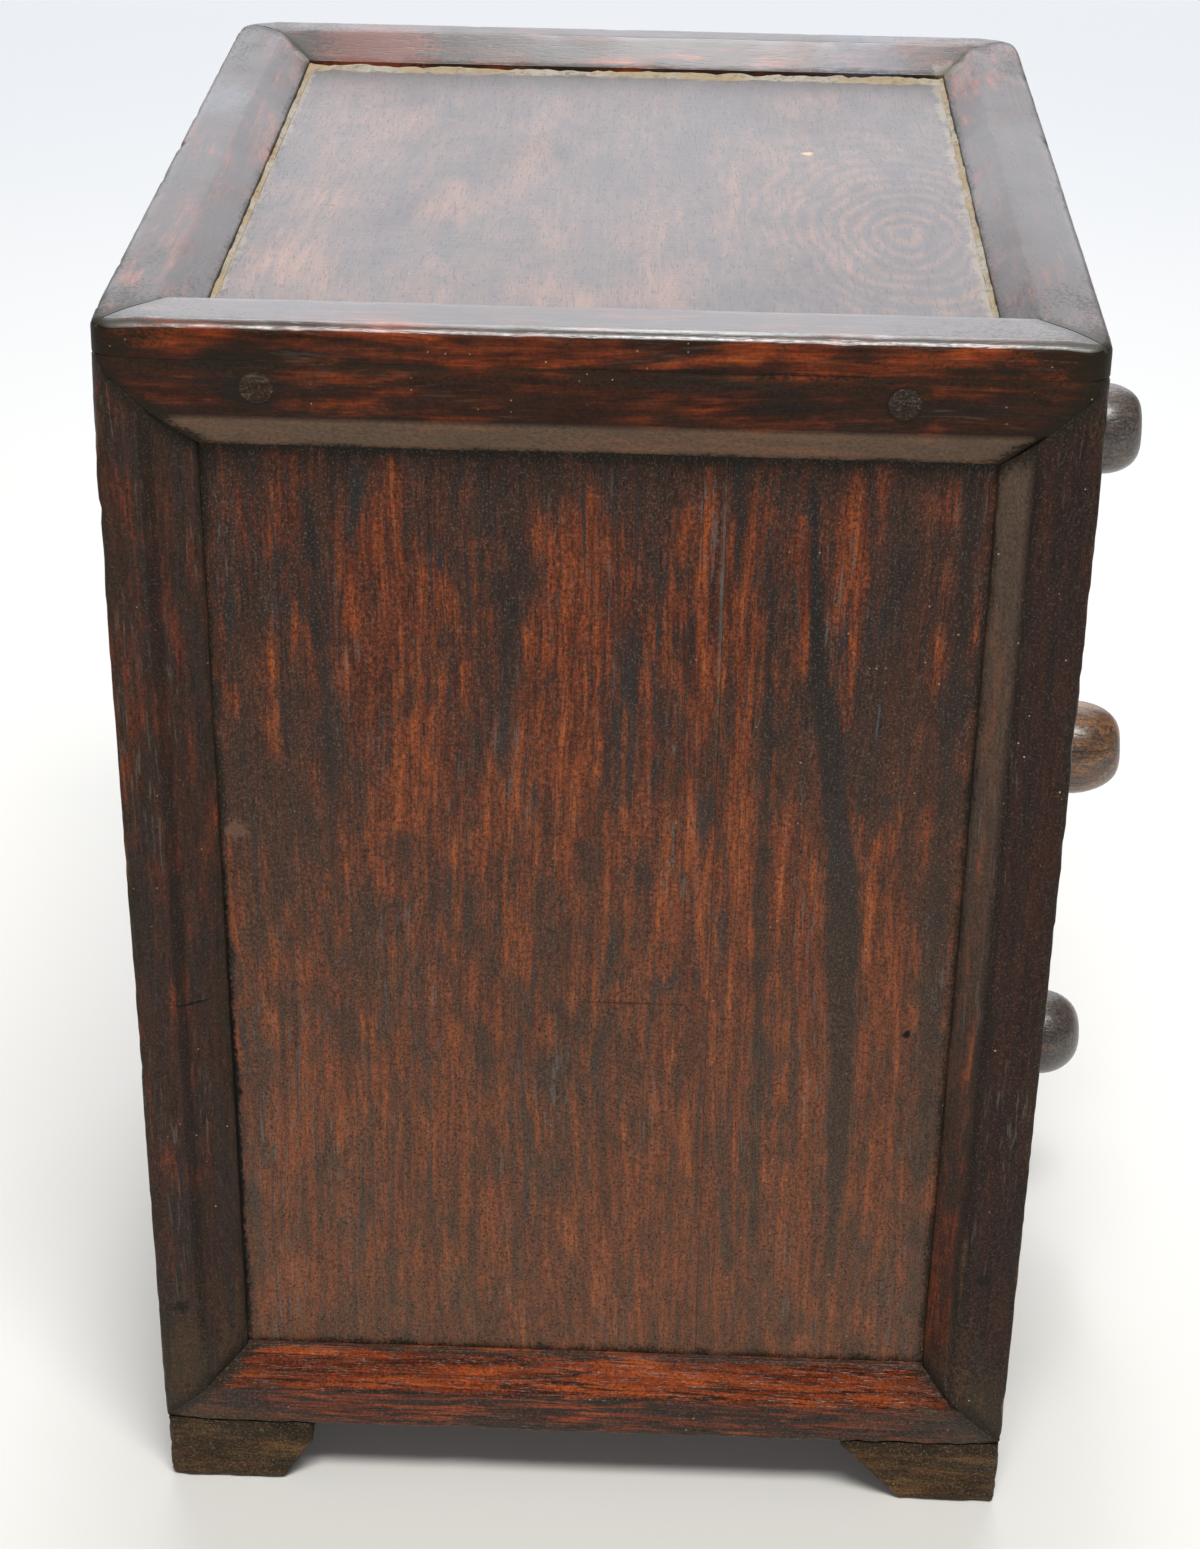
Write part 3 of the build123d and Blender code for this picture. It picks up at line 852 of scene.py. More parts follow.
def wornMember(node, name, normal, centre, look, seed):
    place, (length, width, thick), grain = memberPlace(node, normal, centre)
    flat, drop = look["flats"][name], look["drop"]
    isClose = name in look["closeEdges"]
    piece = addBlock(node + "_wood", (0, 0, -thick), (length, width, 0))
    editMode()
    cutAway((0, flat, 0), (0, drop, width - flat))
    cutAway((look["joint"], 0, 0), (-1, 1, 0))
    cutAway((length - look["joint"], 0, 0), (1, 1, 0))
    cutAway((look["corner"], 0, 0), (-1, -1, 0))
    cutAway((length - look["corner"], 0, 0), (1, -1, 0))
    turnOutwards()
    objectMode()

    rounds = look["round"]

    def toEnd(p):
        return min(p.x, length - p.x) + p.y

    def widthOf(a, b):
        def liesOn(y, z):
            return all(abs(p.y - y) < tiny and abs(p.z - z) < tiny for p in (a, b))

        if liesOn(0, 0):
            return rounds["close" if isClose else "outer"]
        if liesOn(0, -thick):
            return rounds["close"]
        if liesOn(flat, 0):
            return rounds["ridge"]
        if liesOn(width, -drop):
            return rounds["lip"]
        if abs(a.x - b.x) < tiny and max(abs(a.y), abs(b.y)) < tiny:
            return rounds["outer"]
        if not isClose and all(abs(p.z) < tiny and toEnd(p) < look["corner"] + tiny for p in (a, b)):
            return rounds["outer"]
        if abs(a.x - b.x) < width + mitreSlack and min(a.z, b.z) > -drop - tiny:
            return rounds["mitre"]
        return 0.0

    roundEdges(piece, widthOf)
    divideEdges(piece, lambda a, b: abs(a.x - b.x) > length / 2, int(length / memberStep))

    def isCross(a, b):
        return abs(a.y - b.y) + abs(a.z - b.z) > 2 * memberStep

    slope = Vector((0, drop, width - flat)).normalized()
    foot = Vector((0, flat, 0))
    near = memberPaint["nearFace"]
    shown = {
        flat: lambda p: abs(p.z) < near,
        width - flat: lambda p: abs((p - foot).dot(slope)) < near,
        thick: lambda p: abs(p.y) < near,
    }
    for span, onFace in shown.items():
        cuts = round(span / memberStep) - 1
        divideEdges(piece, lambda a, b: isCross(a, b) and onFace(a) and onFace(b), cuts)

    def toMitre(p):
        return min(p.x - p.y, length - p.x - p.y) / math.sqrt(2)

    def toOuter(p):
        return math.hypot(p.y, p.z)

    def toRidge(p):
        return math.hypot(p.y - flat, p.z)

    def toLip(p):
        return math.hypot(p.y - width, p.z + drop)

    def toCorner(p):
        return math.hypot(min(p.x, length - p.x), p.y, p.z)

    distances = {
        "mitre": toMitre, "outer": toOuter, "ridge": toRidge, "lip": toLip, "corner": toCorner,
        "end": toEnd, "farEnd": toEnd, "edge": lambda p: abs(p.y),
    }
    for line, reach in memberReach.items():
        groupByDistance(piece, line, distances[line], reach)
    closeFade = memberPaint["closeFade"]
    groupByDistance(piece, "shown", lambda p: -p.z + isClose * thick * fade(p.y, closeFade), thick)
    edgeTone, flatTone, bevelTone = look["tones"].get(name, (0.0, 0.0, 0.0))

    def toneAt(p):
        if p.y < memberPaint["edgeFrom"] and p.z < -memberPaint["edgeFrom"]:
            return edgeTone
        return bevelTone if p.y > flat + memberPaint["bevelFrom"] else flatTone

    paint(piece, "tone", toneAt)
    isRail = name.endswith("rail")
    soil = look["soil"]

    def soilAt(p):  # most on the ends of the lower members
        rise = (place @ p).z - sideFoot
        nearEnd = fade(toEnd(p), memberPaint["soiledEnds"]) if isRail else 1.0
        risen = nearEnd * fadeFrom(soil["rise"], rise)
        return max(risen, fadeFrom(soil["foot"], rise), fadeFrom(soil["outer"], toOuter(p)))

    if soil:
        paint(piece, "soil", soilAt)
    paint(piece, "grimeAndShade", lambda p: max(
        fadeFrom(spread, distances[line](p)) for line, spread in look["grimeAndShade"].items()))
    outerWear = look["outerWear"].get(name, memberPaint["outerWear"])
    paint(piece, "wear", lambda p: max(
        fadeFrom(memberPaint["ridgeWear"], toRidge(p)), 0.0 if isClose else fadeFrom(outerWear, toOuter(p))))

    def sheenAt(p):  # a pale painted sheen on the bevels, strongest at the top of the sides
        if p.y < flat + memberPaint["sheenFrom"]:
            return 0.0
        return look["bevelSheen"].get(name, 0.0) * fade(sideTop - (place @ p).z, memberPaint["sheenFall"])

    paint(piece, "paintedSheen", sheenAt)
    if name in look["ridgeLines"]:
        ridgeLine = (look["ridgeLines"][name], memberPaint["ridgeLine"])
        paint(piece, "vein", lambda p: fadeFrom(ridgeLine, toRidge(p)))

    if name in look["setBack"]:
        for vertex in piece.data.vertices:
            vertex.co.y += fadeFrom(look["setBack"][name], vertex.co.y)
    facesUp = memberPaint["facingUp"]
    polishedFaces = [polygon.index for polygon in piece.data.polygons if polygon.normal.z > facesUp]
    piece.data.transform(place)
    if abs(normal.x) > 0.5:
        easeTopCorners(piece, normal)
    inward = place.to_3x3() @ Vector((0, 1, 0))
    uneven = look["unevenness"]
    wearDown(piece, memberWear["sag"], -normal, "shown", uneven)
    wearDown(piece, memberWear["ripple"], -normal, "shown", uneven)
    if not isClose:
        wearDown(piece, memberWear["corner"], -normal, "corner")
        wearDown(piece, memberWear["wave"], inward, "outer")
        wearDown(piece, memberWear["nicks"], inward - normal, "outer")
        wearDown(piece, memberWear["fray"], inward - normal, "outer", uneven)
    wearDown(piece, memberWear["ridge"], -normal, "ridge", uneven)
    wearDown(piece, memberWear["lip"], -inward - normal, "lip")
    smoothShade(piece)
    marks = memberMarks.get(node, [])
    finish = look["finishes"].get(name, frameLook)
    settle(piece, node, woodMaterial(node + "_wood", finish, grain, seed, marks=marks))
    if name in look["coats"]:  # what faces up is polished
        coat, specular = look["coats"][name]
        topFinish = dict(topFrameLook, specular=specular)
        polished = woodMaterial(node + "_polished", topFinish, grain, seed, coat, marks=marks)
        piece.data.materials.append(polished)
        for index in polishedFaces:
            piece.data.polygons[index].material_index = 1


def wornFrame(side, normal, look, firstSeed, shared=None):  # shared: cut from one board with another member
    boxes = [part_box(f"{side}_{name}") for name in look["flats"]]
    centre = sum(((low + high) / 2 for low, high in boxes), Vector()) / len(boxes)
    for number, name in enumerate(look["flats"]):
        seed = (shared or {}).get(name, firstSeed + number)
        wornMember(f"{side}_{name}", name, Vector(normal), centre, look, seed)
    print(side, "frame made")


wornFrame("left", (-1, 0, 0), sideFrame, 1)
wornFrame("right", (1, 0, 0), sideFrame, 5)
wornFrame("back", (0, 1, 0), backFrame, 9)
wornFrame("top", (0, 0, 1), topFrame, 13, {"left_rail": 3, "right_rail": 7})


# Panels: two boards in each frame

panelBoards = {
    "tuck": 1.5 * mm,  # how far a board runs in behind its frame
    "seamRound": 0.12 * mm,
    "step": 2.6 * mm,
    "fineStep": 1.2 * mm,  # where stripes are painted
    "shadeAlongFrame": (0.95, 2.6 * mm),  # painted shade along the frame: amount and reach
    # painted shade under the top rail: amount and reach
    "shadeUnderRail": (0.35, 14 * mm),
    # painted sheen that fades out up the panel from its foot: amount and reach
    "dust": (0.28, 190 * mm),
    "wear": [(0.3, 60, 1.0, 1.0), (0.08, 8, 1.0, 1.0)],
}


def openingOf(members):  # the clear space between four frame members
    low, high = Vector((-1, -1, -1)), Vector((1, 1, 1))
    boxes = [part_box(member) for member in members]
    middle = sum(((a + b) / 2 for a, b in boxes), Vector()) / len(boxes)
    for a, b in boxes:
        across = min(range(3), key=lambda axis: (b - a)[axis] if axis != thinAxis(boxes) else 1)
        if (a + b)[across] / 2 < middle[across]:
            low[across] = max(low[across], b[across])
        else:
            high[across] = min(high[across], a[across])
    return low, high


def thinAxis(boxes):  # the axis that all members share
    spreads = [max(b[axis] for a, b in boxes) - min(a[axis] for a, b in boxes) for axis in range(3)]
    return min(range(3), key=lambda axis: spreads[axis])


def zoneTone(zones, u, v):  # darker (below 0) and lighter (above 0) places on a board: smoky and clean wood, and some painted light and shade
    return sum(
        amount * math.exp(-((u - atU) / reachU) ** 2 - ((v - atV) / reachV) ** 2)
        for atU, atV, reachU, reachV, amount in zones)


def stripeAt(path, u, v):  # 1 on the middle line of a stripe, 0 outside it
    for (fromU, fromV, fromHalf), (toU, toV, toHalf) in zip(path, path[1:]):
        if toV <= v <= fromV:
            part = (fromV - v) / (fromV - toV)
            away = (u - fromU - part * (toU - fromU)) / (fromHalf + part * (toHalf - fromHalf))
            return max(0.0, 1 - away ** 2)
    return 0.0


def panelBoard(node, members, normal, seed, zones=(), stripes=(), marks=()):
    low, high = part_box(node)
    openLow, openHigh = openingOf(members)
    thin = max(range(3), key=lambda axis: abs(normal[axis]))
    wide = 1 - thin
    for axis in (wide, 2):
        low[axis] = max(low[axis], openLow[axis] - panelBoards["tuck"])
        high[axis] = min(high[axis], openHigh[axis] + panelBoards["tuck"])
    face = high[thin] if normal[thin] > 0 else low[thin]
    piece = addBlock(node + "_wood", low, high)

    def widthOf(a, b):
        onFace = abs(a[thin] - face) < tiny and abs(b[thin] - face) < tiny
        return panelBoards["seamRound"] if onFace else 0.0

    roundEdges(piece, widthOf)
    for axis in (wide, 2):
        step = panelBoards["fineStep" if stripes else "step"]
        divideAlong(piece, axis, high[axis] - low[axis], step)

    def toFrame(p):
        return min(min(p[axis] - openLow[axis], openHigh[axis] - p[axis]) for axis in (wide, 2))

    def striped(p, part):
        return sum(stripe[part] * stripeAt(stripe[2], p[wide] / mm, p.z / mm) for stripe in stripes)

    shadeAlongFrame, shadeUnderRail = panelBoards["shadeAlongFrame"], panelBoards["shadeUnderRail"]
    # darker towards the frame and under the top rail: painted shade
    paint(piece, "grimeAndShade", lambda p: fadeFrom(shadeAlongFrame, toFrame(p)) + fadeFrom(shadeUnderRail, openHigh.z - p.z))
    paint(piece, "tone", lambda p: zoneTone(zones, p[wide] / mm, p.z / mm) + striped(p, 0))
    paint(piece, "vein", lambda p: striped(p, 1))
    # painted sheen on the lower part of the panel
    paint(piece, "paintedSheen", lambda p: fadeFrom(panelBoards["dust"], p.z - openLow.z))
    for wear in panelBoards["wear"]:
        wearDown(piece, wear, -normal)
    smoothShade(piece)
    settle(piece, node, woodMaterial(node + "_wood", panelLook, "z", seed, marks=marks))


leftZones = [  # middle across and up, reach across and up, amount; in mm
    (84, 235, 22, 50, -0.035),
    (-42, 215, 22, 60, -0.05),
    # a dark band just under the top rail: painted shade
    (0, 262, 60, 8, -0.06),
    (-20, 145, 40, 50, 0.03),
    (88, 165, 10, 40, -0.04),
    # lighter towards the foot of the panel: painted light
    (10, 60, 90, 50, 0.055),
]
leftStripes = [  # tone, dark vein, then the path from the top down: across, up and half width in mm
    (-0.10, 0.8, [(-14.5, 269, 3.5), (-15.0, 252, 1.6), (-15.5, 230, 0.3)]),
    (0.17, 0.0, [
        (-16.5, 255, 0.5), (-17.5, 228, 2.2), (-17.0, 200, 2.2), (-17.5, 160, 2.6), (-18.5, 110, 2),
        (-19, 80, 0.5)]),
    (-0.06, 0.6, [
        (-21, 246, 0.4), (-22, 215, 1.4), (-22.5, 185, 1.6), (-23, 150, 2.4), (-24, 100, 1.8),
        (-24, 70, 0.4)]),
    (0.22, 0.0, [(-28.0, 252, 0.6), (-28.2, 240, 2.2), (-29.0, 224, 0.5)]),
    (-0.10, 1.1, [
        (-29.0, 260, 0.9), (-30.5, 236, 1.5), (-32.5, 215, 2.6), (-36.0, 196, 3.4), (-39.5, 172, 4.0),
        (-41.5, 140, 3.8), (-42.5, 97, 3.0), (-43.0, 60, 0.6)]),
    (0.25, 0.0, [
        (-38.5, 262, 0.8), (-37.6, 247, 4.0), (-38.0, 232, 2.8), (-38.2, 216, 1.4), (-38.0, 204, 0.4)]),
    (-0.12, 0.25, [(-47, 256, 3), (-47, 225, 7), (-46, 190, 6), (-46, 178, 1)]),
    (0.09, 0.0, [(-48, 184, 2), (-49, 160, 6), (-50, 130, 7), (-50, 80, 3)]),
    (0.14, 0.0, [(-33, 170, 0.6), (-34, 140, 2.4), (-35, 100, 2.6), (-36, 60, 1)]),
    (-0.08, 0.5, [(-60.5, 269, 2.5), (-61.0, 200, 3.5), (-61.5, 120, 3.5), (-61.5, 50, 2)]),
    (0.10, 0.0, [(-9.0, 262, 1), (-8.5, 235, 3.5), (-7.5, 205, 4), (-6, 170, 2)]),
    (0.0, 0.75, [(-2.0, 258, 0.5), (-3.5, 232, 1.1), (0.5, 200, 1.1), (2, 180, 0.4)]),
    (0.0, 0.7, [(-5.0, 250, 0.4), (-6.0, 225, 1.0), (-4.5, 196, 1.0), (-4, 170, 0.4)]),
    (0.08, 0.0, [(16, 262, 4), (17, 235, 8), (17, 205, 9), (17, 175, 4)]),
    (-0.09, 0.3, [(31, 264, 3), (31, 240, 5.5), (32, 215, 5.5), (32, 190, 1.5)]),
    (0.09, 0.0, [(55, 262, 4), (56, 235, 12), (55, 205, 12), (54, 175, 5)]),
    (-0.04, 0.5, [(72, 262, 1.5), (70, 230, 2.5), (69, 195, 2), (69, 160, 0.5)]),
]
blackGap = seen(16, 13, 11)
leftMarks = [
    mark((-102, -11.9, 234), 1.0, seen(98, 102, 93), 0.45, (9, 0.4, 32)),
    mark((-102, 91.3, 108.2), 1.0, blackGap),
    mark((-102, -55.9, 129.1), 0.9, blackGap),
    mark((-102, 92.6, 105), 1.0, blackGap, shape=(9, 1.2, 72)),
    mark((-102, 4.8, 135), 1.0, seen(48, 30, 22), 0.6, (9, 13, 0.35)),
    mark((-102, 89.3, 176), 2.6, seen(140, 112, 92), 0.35),
]
for side, normal, names, seed in (
    ("left", (-1, 0, 0), ("front", "back"), 21),
    ("right", (1, 0, 0), ("front", "back"), 23),
    ("back", (0, 1, 0), ("left", "right"), 25),
):
    look = backFrame if side == "back" else sideFrame
    members = [f"{side}_{name}" for name in look["flats"]]
    details = (leftZones, leftStripes, leftMarks) if side == "left" else ()
    for number, name in enumerate(names):
        panelBoard(f"{side}_panel_{name}_board", members, Vector(normal), seed + number, *details)
print("panels made")

# Top panel: boards with a raised field
topPanel = {
    "fieldGap": 0.8 * mm,
    "fieldRise": 1.6 * mm,
    "tuck": 2.0 * mm,
    "round": 0.4 * mm,
    "seamRound": 0.06 * mm,
    "seamClose": 0.06 * mm,
    "seamFromEdge": 9 * mm,
    "step": 2.6 * mm,
    "grimeAndShade": (0.5, 4 * mm),
    "wear": (0.25, 60, 1.0, 1.0),
    "coat": 0.3,
}


def topBoard(node, seed, swirl=None, marks=()):
    low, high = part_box(node)
    openLow, openHigh = openingOf([f"top_{name}" for name in topFrame["flats"]])
    fieldLow, fieldHigh = low.copy(), high.copy()
    for axis in (0, 1):
        fieldLow[axis] = max(low[axis], openLow[axis] + topPanel["fieldGap"])
        fieldHigh[axis] = min(high[axis], openHigh[axis] - topPanel["fieldGap"])
        low[axis] = max(low[axis], openLow[axis] - topPanel["tuck"])
        high[axis] = min(high[axis], openHigh[axis] + topPanel["tuck"])
    if low.y > openLow.y:  # the boards meet with a hairline between them
        low.y = fieldLow.y = low.y - topPanel["seamClose"]
    else:
        high.y = fieldHigh.y = high.y + topPanel["seamClose"]
    shoulder = high.z - topPanel["fieldRise"]
    piece = addBlock(node + "_wood", low, (high.x, high.y, shoulder))
    editMode()
    for axis in (0, 1):
        for limit in (fieldLow[axis], fieldHigh[axis]):
            if low[axis] + tiny < limit < high[axis] - tiny:
                point, direction = [0, 0, 0], [0, 0, 0]
                point[axis], direction[axis] = limit, 1
                selectAll()
                bpy.ops.mesh.bisect(plane_co=point, plane_no=direction)
    bpy.ops.mesh.select_mode(type="FACE")
    selectNone()
    mesh = bmesh.from_edit_mesh(piece.data)
    for face in mesh.faces:
        middle = face.calc_center_median()
        inField = all(fieldLow[axis] < middle[axis] < fieldHigh[axis] for axis in (0, 1))
        face.select_set(inField and face.normal.z > 0.9)
    bmesh.update_edit_mesh(piece.data)
    bpy.ops.mesh.extrude_region_move(TRANSFORM_OT_translate={"value": (0, 0, topPanel["fieldRise"])})
    objectMode()

    def widthOf(a, b):
        if a.z < high.z - tiny or b.z < high.z - tiny:
            return 0.0
        fromEdge = min(a.y - openLow.y, openHigh.y - a.y)
        onSeam = abs(a.y - b.y) < tiny and fromEdge > topPanel["seamFromEdge"]
        return topPanel["seamRound" if onSeam else "round"]

    roundEdges(piece, widthOf)
    for axis in (0, 1):
        divideAlong(piece, axis, fieldHigh[axis] - fieldLow[axis], topPanel["step"])

    def toEdge(p):
        return min(p.x - openLow.x, openHigh.x - p.x, p.y - openLow.y, openHigh.y - p.y)

    paint(piece, "grimeAndShade", lambda p: fadeFrom(topPanel["grimeAndShade"], toEdge(p)))
    paint(piece, "tone", lambda p: zoneTone(topZones, p.x / mm, p.y / mm))
    wearDown(piece, topPanel["wear"], (0, 0, -1))
    smoothShade(piece)
    dust = dict(topDust, low=(openLow.x, openLow.y), high=(openHigh.x, openHigh.y))
    finish = woodMaterial(node + "_wood", topLook, "x", seed, topPanel["coat"], dust, swirl, marks)
    settle(piece, node, finish)


topZones = [  # middle in X and Y, reach in X and Y, amount; in mm
    (-17, 49, 14, 8, 0.16),
    (23, 34, 20, 9, 0.11),
    (-57, 82, 14, 9, 0.20),
    (-20, 74, 22, 8, 0.07),
    (50, 40, 18, 22, 0.06),
    (-72, 6, 14, 14, 0.10),
    (-35, -42, 26, 16, 0.02),
    (20, -4, 60, 5, -0.07),
    (-4, 14, 30, 6, -0.10),
    # a dark band in front of the far rail's dust: painted shade
    (81, 10, 6, 80, -0.14),
]
topDust = {  # how far the dust reaches in from each edge: low and high in X, then Y
    "colour": seen(140, 128, 108),
    "reachLow": (1.6 * mm, 3.4 * mm),
    "reachHigh": (5.5 * mm, 2.4 * mm),
    "grain": 160,
    "uneven": 0.45,
    "ends": (0.45, 1.0),  # in reaches
    "most": 0.7,
}
topSwirl = {
    "centre": (-22 * mm, -46 * mm, 0),
    "squeeze": (0.5, 1.0, 0.0),
    "bend": 8 * mm,
    "wander": 45,  # bends per metre
    "spacing": 3.3 * mm,
    "full": 10.4 * mm,
    "reach": 52 * mm,
    "amount": 0.06,
}
yellowSpeck = mark((26.2, -30.0, 286), 1.3, seen(206, 160, 84))
topBoard("top_panel_front_board", 27, topSwirl, [yellowSpeck])
topBoard("top_panel_back_board", 27)


dustLook = {
    "clean": seen(170, 163, 150),
    "stained": seen(164, 147, 119),
    "hollow": seen(128, 119, 104),
    "lumps": 700,
    "stains": 60,
    "stainRange": (0.4, 0.6),
    "hollowRange": (0.3, 0.55),
    "roughness": 0.95,
    "specular": 0.2,
    "bump": (0.8, 0.3 * mm),
}


def dustMaterial():
    material, tree, shader, place = newMaterial("grooveDust")
    lumps = evenNoise(tree, place, dustLook["lumps"], 5, 0.7)
    stains = rangeOf(tree, evenNoise(tree, place, dustLook["stains"], 3), *dustLook["stainRange"])
    light = mixColour(tree, stains, dustLook["clean"], dustLook["stained"])
    raised = rangeOf(tree, lumps, *dustLook["hollowRange"])
    setInputs(tree, shader, {
        "Base Color": mixColour(tree, raised, dustLook["hollow"], light),
        "Roughness": dustLook["roughness"],
        "Specular IOR Level": dustLook["specular"],
        "Normal": bumpOf(tree, lumps, *dustLook["bump"]),
    })
    return material


dustBeads = {  # length axis, low and high corner, planes that slope the top off: (point, normal); in mm
    "front": (0, (-87.5, -65.7, 284.4), (88.6, -61.8, 287.2), [((0, -64.2, 286.2), (0, 0.45, 1))]),
    "right": (1, (82.5, -65.2, 284.6), (88.2, 92.2, 286.9), [
        ((84.6, 0, 286.2), (-0.3, 0, 1)), ((88.1, 0, 286), (1, 0, 0.7))]),
    "back": (0, (-80, 89.4, 284.4), (88.6, 92.6, 287.0), [((0, 91.5, 286.1), (0, -0.5, 1))]),
}
dustStep = 0.7 * mm
dustWear = [(0.8, 6, 2.0, 0.8), (0.5, 1.6, 2.0, 0.7)]
dustSmooth = 70  # degrees


def dustBead(name, axis, low, high, planes, material):
    low, high = Vector(low) * mm, Vector(high) * mm
    piece = addBlock(f"top_{name}_dust", low, high)
    editMode()
    for point, normal in planes:
        cutAway(Vector(point) * mm, normal)
    objectMode()
    for across in (axis, 1 - axis):
        divideAlong(piece, across, high[across] - low[across], dustStep, 1 / 3)
    for wear in dustWear:
        wearDown(piece, wear, (0, 0, -1))
    smoothShade(piece, dustSmooth)
    piece.data.materials.append(material)
    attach(piece, "case")


grooveDust = dustMaterial()
for name, (axis, low, high, planes) in dustBeads.items():
    dustBead(name, axis, low, high, planes, grooveDust)
print("top panel made")

# Feet: blocks with two sloping faces
feet = {
    "toeWidth": 24.0 * mm,
    "toeLength": {"front": 22.5 * mm, "back": 27.0 * mm},
    "shoulder": {"front": 1.5 * mm, "back": 6.0 * mm},
    "round": 1.2 * mm,
    "closeRound": 0.25 * mm,  # where they meet the case
    "levels": 4,  # of subdivision
    "grimeAndShade": (0.3, (0.5, 5 * mm)),  # all over, and under the case
    "wear": [(0.8, 14, 1.0, 1.0), (0.5, 5, 2.5, 0.6), (0.35, 2.4, 3.0, 0.5)],
}


def footPiece(end, side, seed):
    node = f"{end}_{side}_foot"
    low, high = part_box(node)
    slopeRise = high.z - feet["shoulder"][end]
    piece = addBlock(node + "_wood", low, high)
    editMode()
    toes = ((0, feet["toeWidth"], side == "left"), (1, feet["toeLength"][end], end == "front"))
    for axis, toe, outerLow in toes:
        outer, inwards = (low[axis], 1) if outerLow else (high[axis], -1)
        span = high[axis] - low[axis]
        point, normal = Vector((0, 0, 0)), Vector((0, 0, toe - span))
        point[axis] = outer + inwards * toe
        normal[axis] = inwards * slopeRise
        cutAway(point, normal)
    turnOutwards()
    objectMode()
    roundEdges(piece, lambda a, b: feet["closeRound" if min(a.z, b.z) > high.z - tiny else "round"], 2)
    dense = piece.modifiers.new("dense", "SUBSURF")
    dense.subdivision_type = "SIMPLE"
    dense.levels = dense.render_levels = feet["levels"]
    applyModifier(piece, dense)
    allOver, underCase = feet["grimeAndShade"]
    paint(piece, "grimeAndShade", lambda p: allOver + fadeFrom(underCase, high.z - p.z))
    inwards = Vector((1 if side == "left" else -1, 1 if end == "front" else -1, 0))
    for wear in feet["wear"]:
        wearDown(piece, wear, inwards)
    smoothShade(piece)
    settle(piece, node, woodMaterial(node + "_wood", footLook, "y", seed))


for number, (end, side) in enumerate((end, side) for end in ("front", "back") for side in ("left", "right")):
    footPiece(end, side, 31 + number)
print("feet made")

# Drawers
drawers = {
    "frontInset": 0.15 * mm,
    "round": 0.7 * mm,
    "step": 3.0 * mm,
    "grimeAndShade": (0.6, 5 * mm),
    "wear": (0.2, 45, 1.0, 1.0),
    "edgeWear": (0.8, 6, 3.0, 0.55),
    "edgeReach": 2.5 * mm,
}
knobs = {
    "base": 13.0 * mm,
    "waist": 11.0 * mm,
    "neck": 6.0 * mm,
    "widestAt": 15.0 * mm,
    "diameter": {"lower": 21.8 * mm, "middle": 23.0 * mm, "upper": 21.0 * mm},
    "end": {"lower": 5.0 * mm, "middle": 9.0 * mm, "upper": 10.0 * mm},
    "tone": {"lower": -0.10, "middle": 0.07, "upper": -0.06},  # above 0 is more orange
    "sunk": 1.0 * mm,
    "steps": 64,
    "endFlat": 0.6,  # share of the end that is flat
    "grimeAndShade": (0.8, 8 * mm),
    "wear": [((0.3, 12, 1.0, 1.0), (0.7, 0.7, 0.7)), ((0.3, 9, 1.0, 1.0), (-0.7, 0, -0.7))],
    "smooth": 50,  # degrees
    "coat": 0.2,
}


def drawerFront(name, seed):
    node = f"{name}_drawer_front"
    low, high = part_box(node)
    inset = Vector((drawers["frontInset"], 0, 0))
    piece = addBlock(node + "_wood", low + inset, high - inset)
    roundEdges(piece, lambda a, b: drawers["round"])
    for axis in (0, 2):
        divideAlong(piece, axis, high[axis] - low[axis], drawers["step"])

    def toEdge(p):
        return min(p.x - low.x, high.x - p.x, p.z - low.z, high.z - p.z)

    paint(piece, "grimeAndShade", lambda p: fadeFrom(drawers["grimeAndShade"], toEdge(p)))
    groupByDistance(piece, "edge", toEdge, drawers["edgeReach"])
    wearDown(piece, drawers["wear"], (0, 1, 0))
    wearDown(piece, drawers["edgeWear"], (0, 1, 0), "edge")
    smoothShade(piece)
    settle(piece, node, woodMaterial(node + "_wood", panelLook, "x", seed))


def knobProfile(name, reach):  # (radius, distance out from the drawer front)
    base, waist = knobs["base"] / 2, knobs["waist"] / 2
    widest, end, neck = knobs["diameter"][name] / 2, knobs["end"][name] / 2, knobs["neck"]
    points = [(0, -knobs["sunk"]), (base, -knobs["sunk"])]
    for step in range(7):
        turn = math.pi * step / 6
        points.append((base - (base - waist) * math.sin(turn), neck * step / 6))
    for step in range(1, 9):
        turn = math.pi / 2 * step / 8
        out = neck + (knobs["widestAt"] - neck) * (1 - math.cos(turn))
        points.append((base + (widest - base) * math.sin(turn), out))
    for step in range(1, 11):
        turn = math.pi / 2 * step / 10
        out = knobs["widestAt"] + (reach - knobs["widestAt"]) * math.sin(turn)
        points.append((end + (widest - end) * math.cos(turn), out))
    points += [(end * knobs["endFlat"], reach), (0, reach)]
    return points


